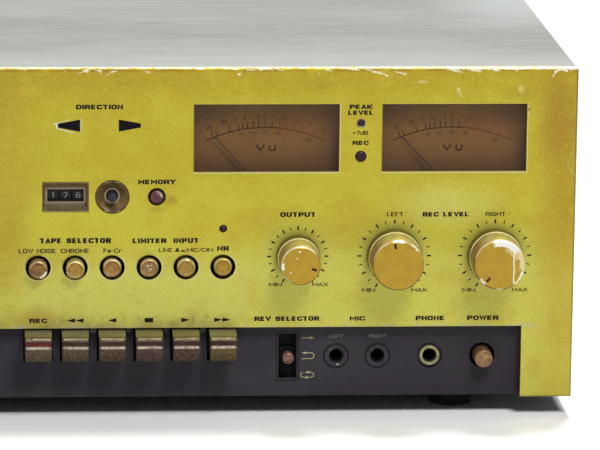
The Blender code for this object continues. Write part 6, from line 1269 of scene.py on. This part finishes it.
# Lamps
for name, x, z, look, sides, profile in (
    ("peak_lamp_ring", LAMP_X, 137.65, "lamp_ring_grey", 40,
     [(1.72, 0.6), (1.72, -0.2), (1.95, -0.32), (2.2, -0.2), (2.25, -0.02)]),
    ("record_lamp_ring", LAMP_X, 121.18, "black_moulding", 48,
     [(2.52, 0.6), (2.52, -0.1), (2.66, -0.14), (2.8, -0.08), (2.85, -0.02)]),
    ("peak_lamp_lens", LAMP_X, 137.65, "lamp_lens", 32,
     [(0.0, -0.55), (0.7, -0.52), (1.2, -0.42), (1.55, -0.25), (1.69, 0.0), (1.69, 0.3)]),
    ("record_lamp_lens", LAMP_X, 121.18, "record_lens", 32,
     [(0.0, -0.6), (0.9, -0.56), (1.7, -0.44), (2.25, -0.2), (2.48, 0.0), (2.48, 0.3)]),
    ("noise_lamp_lens", 47.4, 85.52, "lamp_lens", 32,
     [(0.0, -0.35), (0.6, -0.32), (1.1, -0.15), (1.45, 0.1), (1.5, 0.4), (1.5, 0.9)]),
):
    lathe(name, x, z, profile, look, sides)

# Counter digits, ten round each drum, with the photographed one in front
DRUM_RADIUS = 6.5
DRUM_FRONT = 5.3
DRUM_Y = DRUM_FRONT + DRUM_RADIUS
for name, x, front in (("hundreds", -35.4, 1), ("tens", -29.23, 7), ("units", -23.06, 6)):
    corners = []
    faces = []
    for step in range(10):
        flat = []
        digit = (front + step) % 10
        half = 0.5 if digit == 1 else 1.1
        for points, width, _ in words(str(digit), -half, half, -1.45, 1.45, 0.16):
            fine = [points[0]]
            for start, end in zip(points, points[1:]):
                parts = max(1, round((end - start).length / 0.35))
                fine += [start.lerp(end, part / parts) for part in range(1, parts + 1)]
            more = []
            ribbon(fine, width, more, flat)
            faces += [tuple(len(corners) + index for index in face) for face in more]
        for corner in flat:
            angle = math.radians(36 * step) + corner.y / DRUM_RADIUS
            out = (DRUM_RADIUS + PRINT_PROUD) * math.cos(angle)
            up = (DRUM_RADIUS + PRINT_PROUD) * math.sin(angle)
            corners.append(at(x + corner.x, DRUM_Y - out, COUNTER_Z + up))
    piece("digits_" + name, corners, faces, "counter_digit_ink", "counter_drum_" + name)
for name, low, high in (("top", 2.15, 3.6), ("bottom", -3.6, -2.15)):
    plate("counter_shade_" + name, (-38.6, 4.7, COUNTER_Z + low), (-19.9, 5.0, COUNTER_Z + high), "inner_black")

# Screws
rear_screws = ((-208, 18), (-208, 152), (0, 154), (208, 152), (208, 18), (-70, 16), (80, 16))
for index, (x, z) in enumerate(rear_screws, 1):
    screw("rear_screw_" + str(index), at(x, REAR_Y, z), (0, 1, 0), 2.6, 1.1)
side_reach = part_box("cabinet_cover")[1].x / MM
for side, name in ((1, "right"), (-1, "left")):
    for index, y in enumerate((46, 238), 1):
        screw("side_screw_" + name + "_" + str(index), at(side * side_reach, y, 26), (side, 0, 0), 3.4, 0.55)


# Rear fittings: coloured collars and plated cups on the line sockets, a bezel round each inlet, and legends
def behind(*profile):
    """A profile whose reaches are counted from the rear panel."""
    return [(radius, REAR_Y + reach) for radius, reach in profile]


for index, (x, z, look) in enumerate((
    (-150.0, 60.0, "collar_red"), (-132.0, 60.0, "collar_red"), (-150.0, 78.0, "collar_white"),
    (-132.0, 78.0, "collar_white"),
), 1):
    name = "line_socket_" + str(index)
    lathe(name + "_collar", x, z, behind((4.3, 0), (6.4, 0), (6.4, 0.9), (6.1, 1.2), (4.3, 1.2)), look, 48)
    cup = behind((4.3, 1.2), (4.3, 7.7), (4.14, 7.98), (3.34, 7.98), (3.24, 7.9))
    lathe(name + "_cup", x, z, cup, "nickel", 48)
    lathe(name + "_core", x, z, behind((3.26, 8.02), (1.9, 8.02), (1.8, 8.06), (0.0, 8.06)), "inner_black", 40)
bezel = behind((6.2, 0.02), (6.2, 0.7), (6.5, 0.9), (8.8, 0.9), (9.2, 0.5), (9.2, 0.02))
lathe("round_inlet_bezel", -90.0, 60.0, bezel, "nickel", 64)
for side, x in (("left", -101.5), ("right", -78.5)):
    screw("round_inlet_screw_" + side, at(x, REAR_Y, 60.0), (0, 1, 0), 1.7, 0.8)
printed("mains_inlet_rim", [(outline(154.0, 53.5, 176.0, 66.5), 1.1)], "black_moulding", REAR_Y + 0.07, out=1)
legends = []
for text, x0, x1, z0, z1 in (
    ("LINE IN", -171.5, -158.0, 76.6, 79.4), ("LINE OUT", -173.5, -158.0, 58.6, 61.4),
    ("R", -151.2, -148.8, 88.0, 90.8),
    ("L", -133.1, -130.9, 88.0, 90.8), ("DIN", -94.0, -86.0, 72.0, 74.8),
    ("AC", 162.0, 168.0, 70.5, 73.3),
):
    for points, width, stretch in words(text, x0, x1, z0, z1, 0.16, 1.1):
        points = [Vector(((x0 + x1 - point.x * stretch) / stretch, point.y)) for point in points]
        legends.append((points, width, stretch))
left, right, lower, upper = -178, -122, 50.5, 95.5
legends += [
    ([(left, lower), (right, lower)], 0.3), ([(left, upper), (right, upper)], 0.3),
    ([(left, lower), (left, upper)], 0.3), ([(right, lower), (right, upper)], 0.3),
]
printed("rear_legends", legends, "dim_legend_ink", REAR_Y, out=1)

# A dark lip round the door's pane
low, high = box("cassette_door")
lip = outline(low.x + 12.6, low.z + 17.6, high.x - 12.6, high.z - 15.6)
printed("door_pane_lip", [(lip, 0.7)], "dark_legend_ink", low.y, "door")


# Floor, lamps and background
def rays(nodes, *kinds):
    """1 where a ray is of one of the kinds."""
    outputs = nodes.add("ShaderNodeLightPath", {})
    return largest(Field(nodes, outputs["Is " + kind + " Ray"]) for kind in kinds)


def paper_floor():
    """A pale floor that keeps the shadow near the object and is plain white to the camera further out."""
    reach = 14.0
    mesh = bpy.data.meshes.new("floor")
    corners = [(-reach, -reach, 0), (reach, -reach, 0), (reach, reach, 0), (-reach, reach, 0)]
    mesh.from_pydata(corners, [], [(0, 1, 2, 3)])
    floor = bpy.data.objects.new("floor", mesh)
    bpy.context.scene.collection.objects.link(floor)
    material = bpy.data.materials.new("floor_paper")
    nodes = Nodes(material)
    nodes.tree.nodes.clear()
    seen = rays(nodes, "Camera")
    shades = {0: seen, 6: (0.95, 0.95, 0.95, 1), 7: (1.3, 1.31, 1.34, 1)}
    shade = nodes.add("ShaderNodeMix", shades, data_type="RGBA")[2]
    diffuse = nodes.add("ShaderNodeBsdfDiffuse", {"Color": shade})[0]
    white = nodes.add("ShaderNodeEmission", {})[0]
    place = nodes.add("ShaderNodeTexCoord", {})["Object"]
    far = nodes.add("ShaderNodeVectorMath", {0: place}, operation="LENGTH")["Value"]
    fade = Field(nodes, far).rise(0.55, 1.1)
    paper = nodes.add("ShaderNodeMixShader", {0: fade * seen, 1: diffuse, 2: white})[0]
    nodes.add("ShaderNodeOutputMaterial", {0: paper})
    mesh.materials.append(material)


def white_world():
    """White to the camera, in mirrors and through glass; a weak soft light to the rest."""
    world = bpy.context.scene.world = bpy.data.worlds.new("studio")
    nodes = Nodes(world)
    nodes.tree.nodes.clear()
    soft = nodes.add("ShaderNodeBackground", {0: (0.97, 0.98, 1.0, 1), 1: 0.06})[0]
    white = nodes.add("ShaderNodeBackground", {0: (1, 1, 1, 1), 1: 1.0})[0]
    seen = rays(nodes, "Camera", "Glossy", "Transmission")
    mix = nodes.add("ShaderNodeMixShader", {0: seen, 1: soft, 2: white})[0]
    nodes.add("ShaderNodeOutputWorld", {0: mix})


paper_floor()
white_world()
for name, place, aim, size, power in (
    ("overhead", (0.25, 0.4, 2.5), (0.05, 0.0, 0.1), 0.5, 40),
    ("front_fill", (0.5, -1.5, 1.6), (0.05, -0.1, 0.08), 0.6, 27.0),
):
    data = bpy.data.lights.new(name, "AREA")
    data.shape = "SQUARE"
    data.size = size
    data.energy = power
    lamp = bpy.data.objects.new(name, data)
    bpy.context.scene.collection.objects.link(lamp)
    lamp.location = place
    lamp.rotation_euler = (Vector(aim) - Vector(place)).to_track_quat("-Z", "Y").to_euler()
bpy.context.scene.view_settings.view_transform = "Standard"
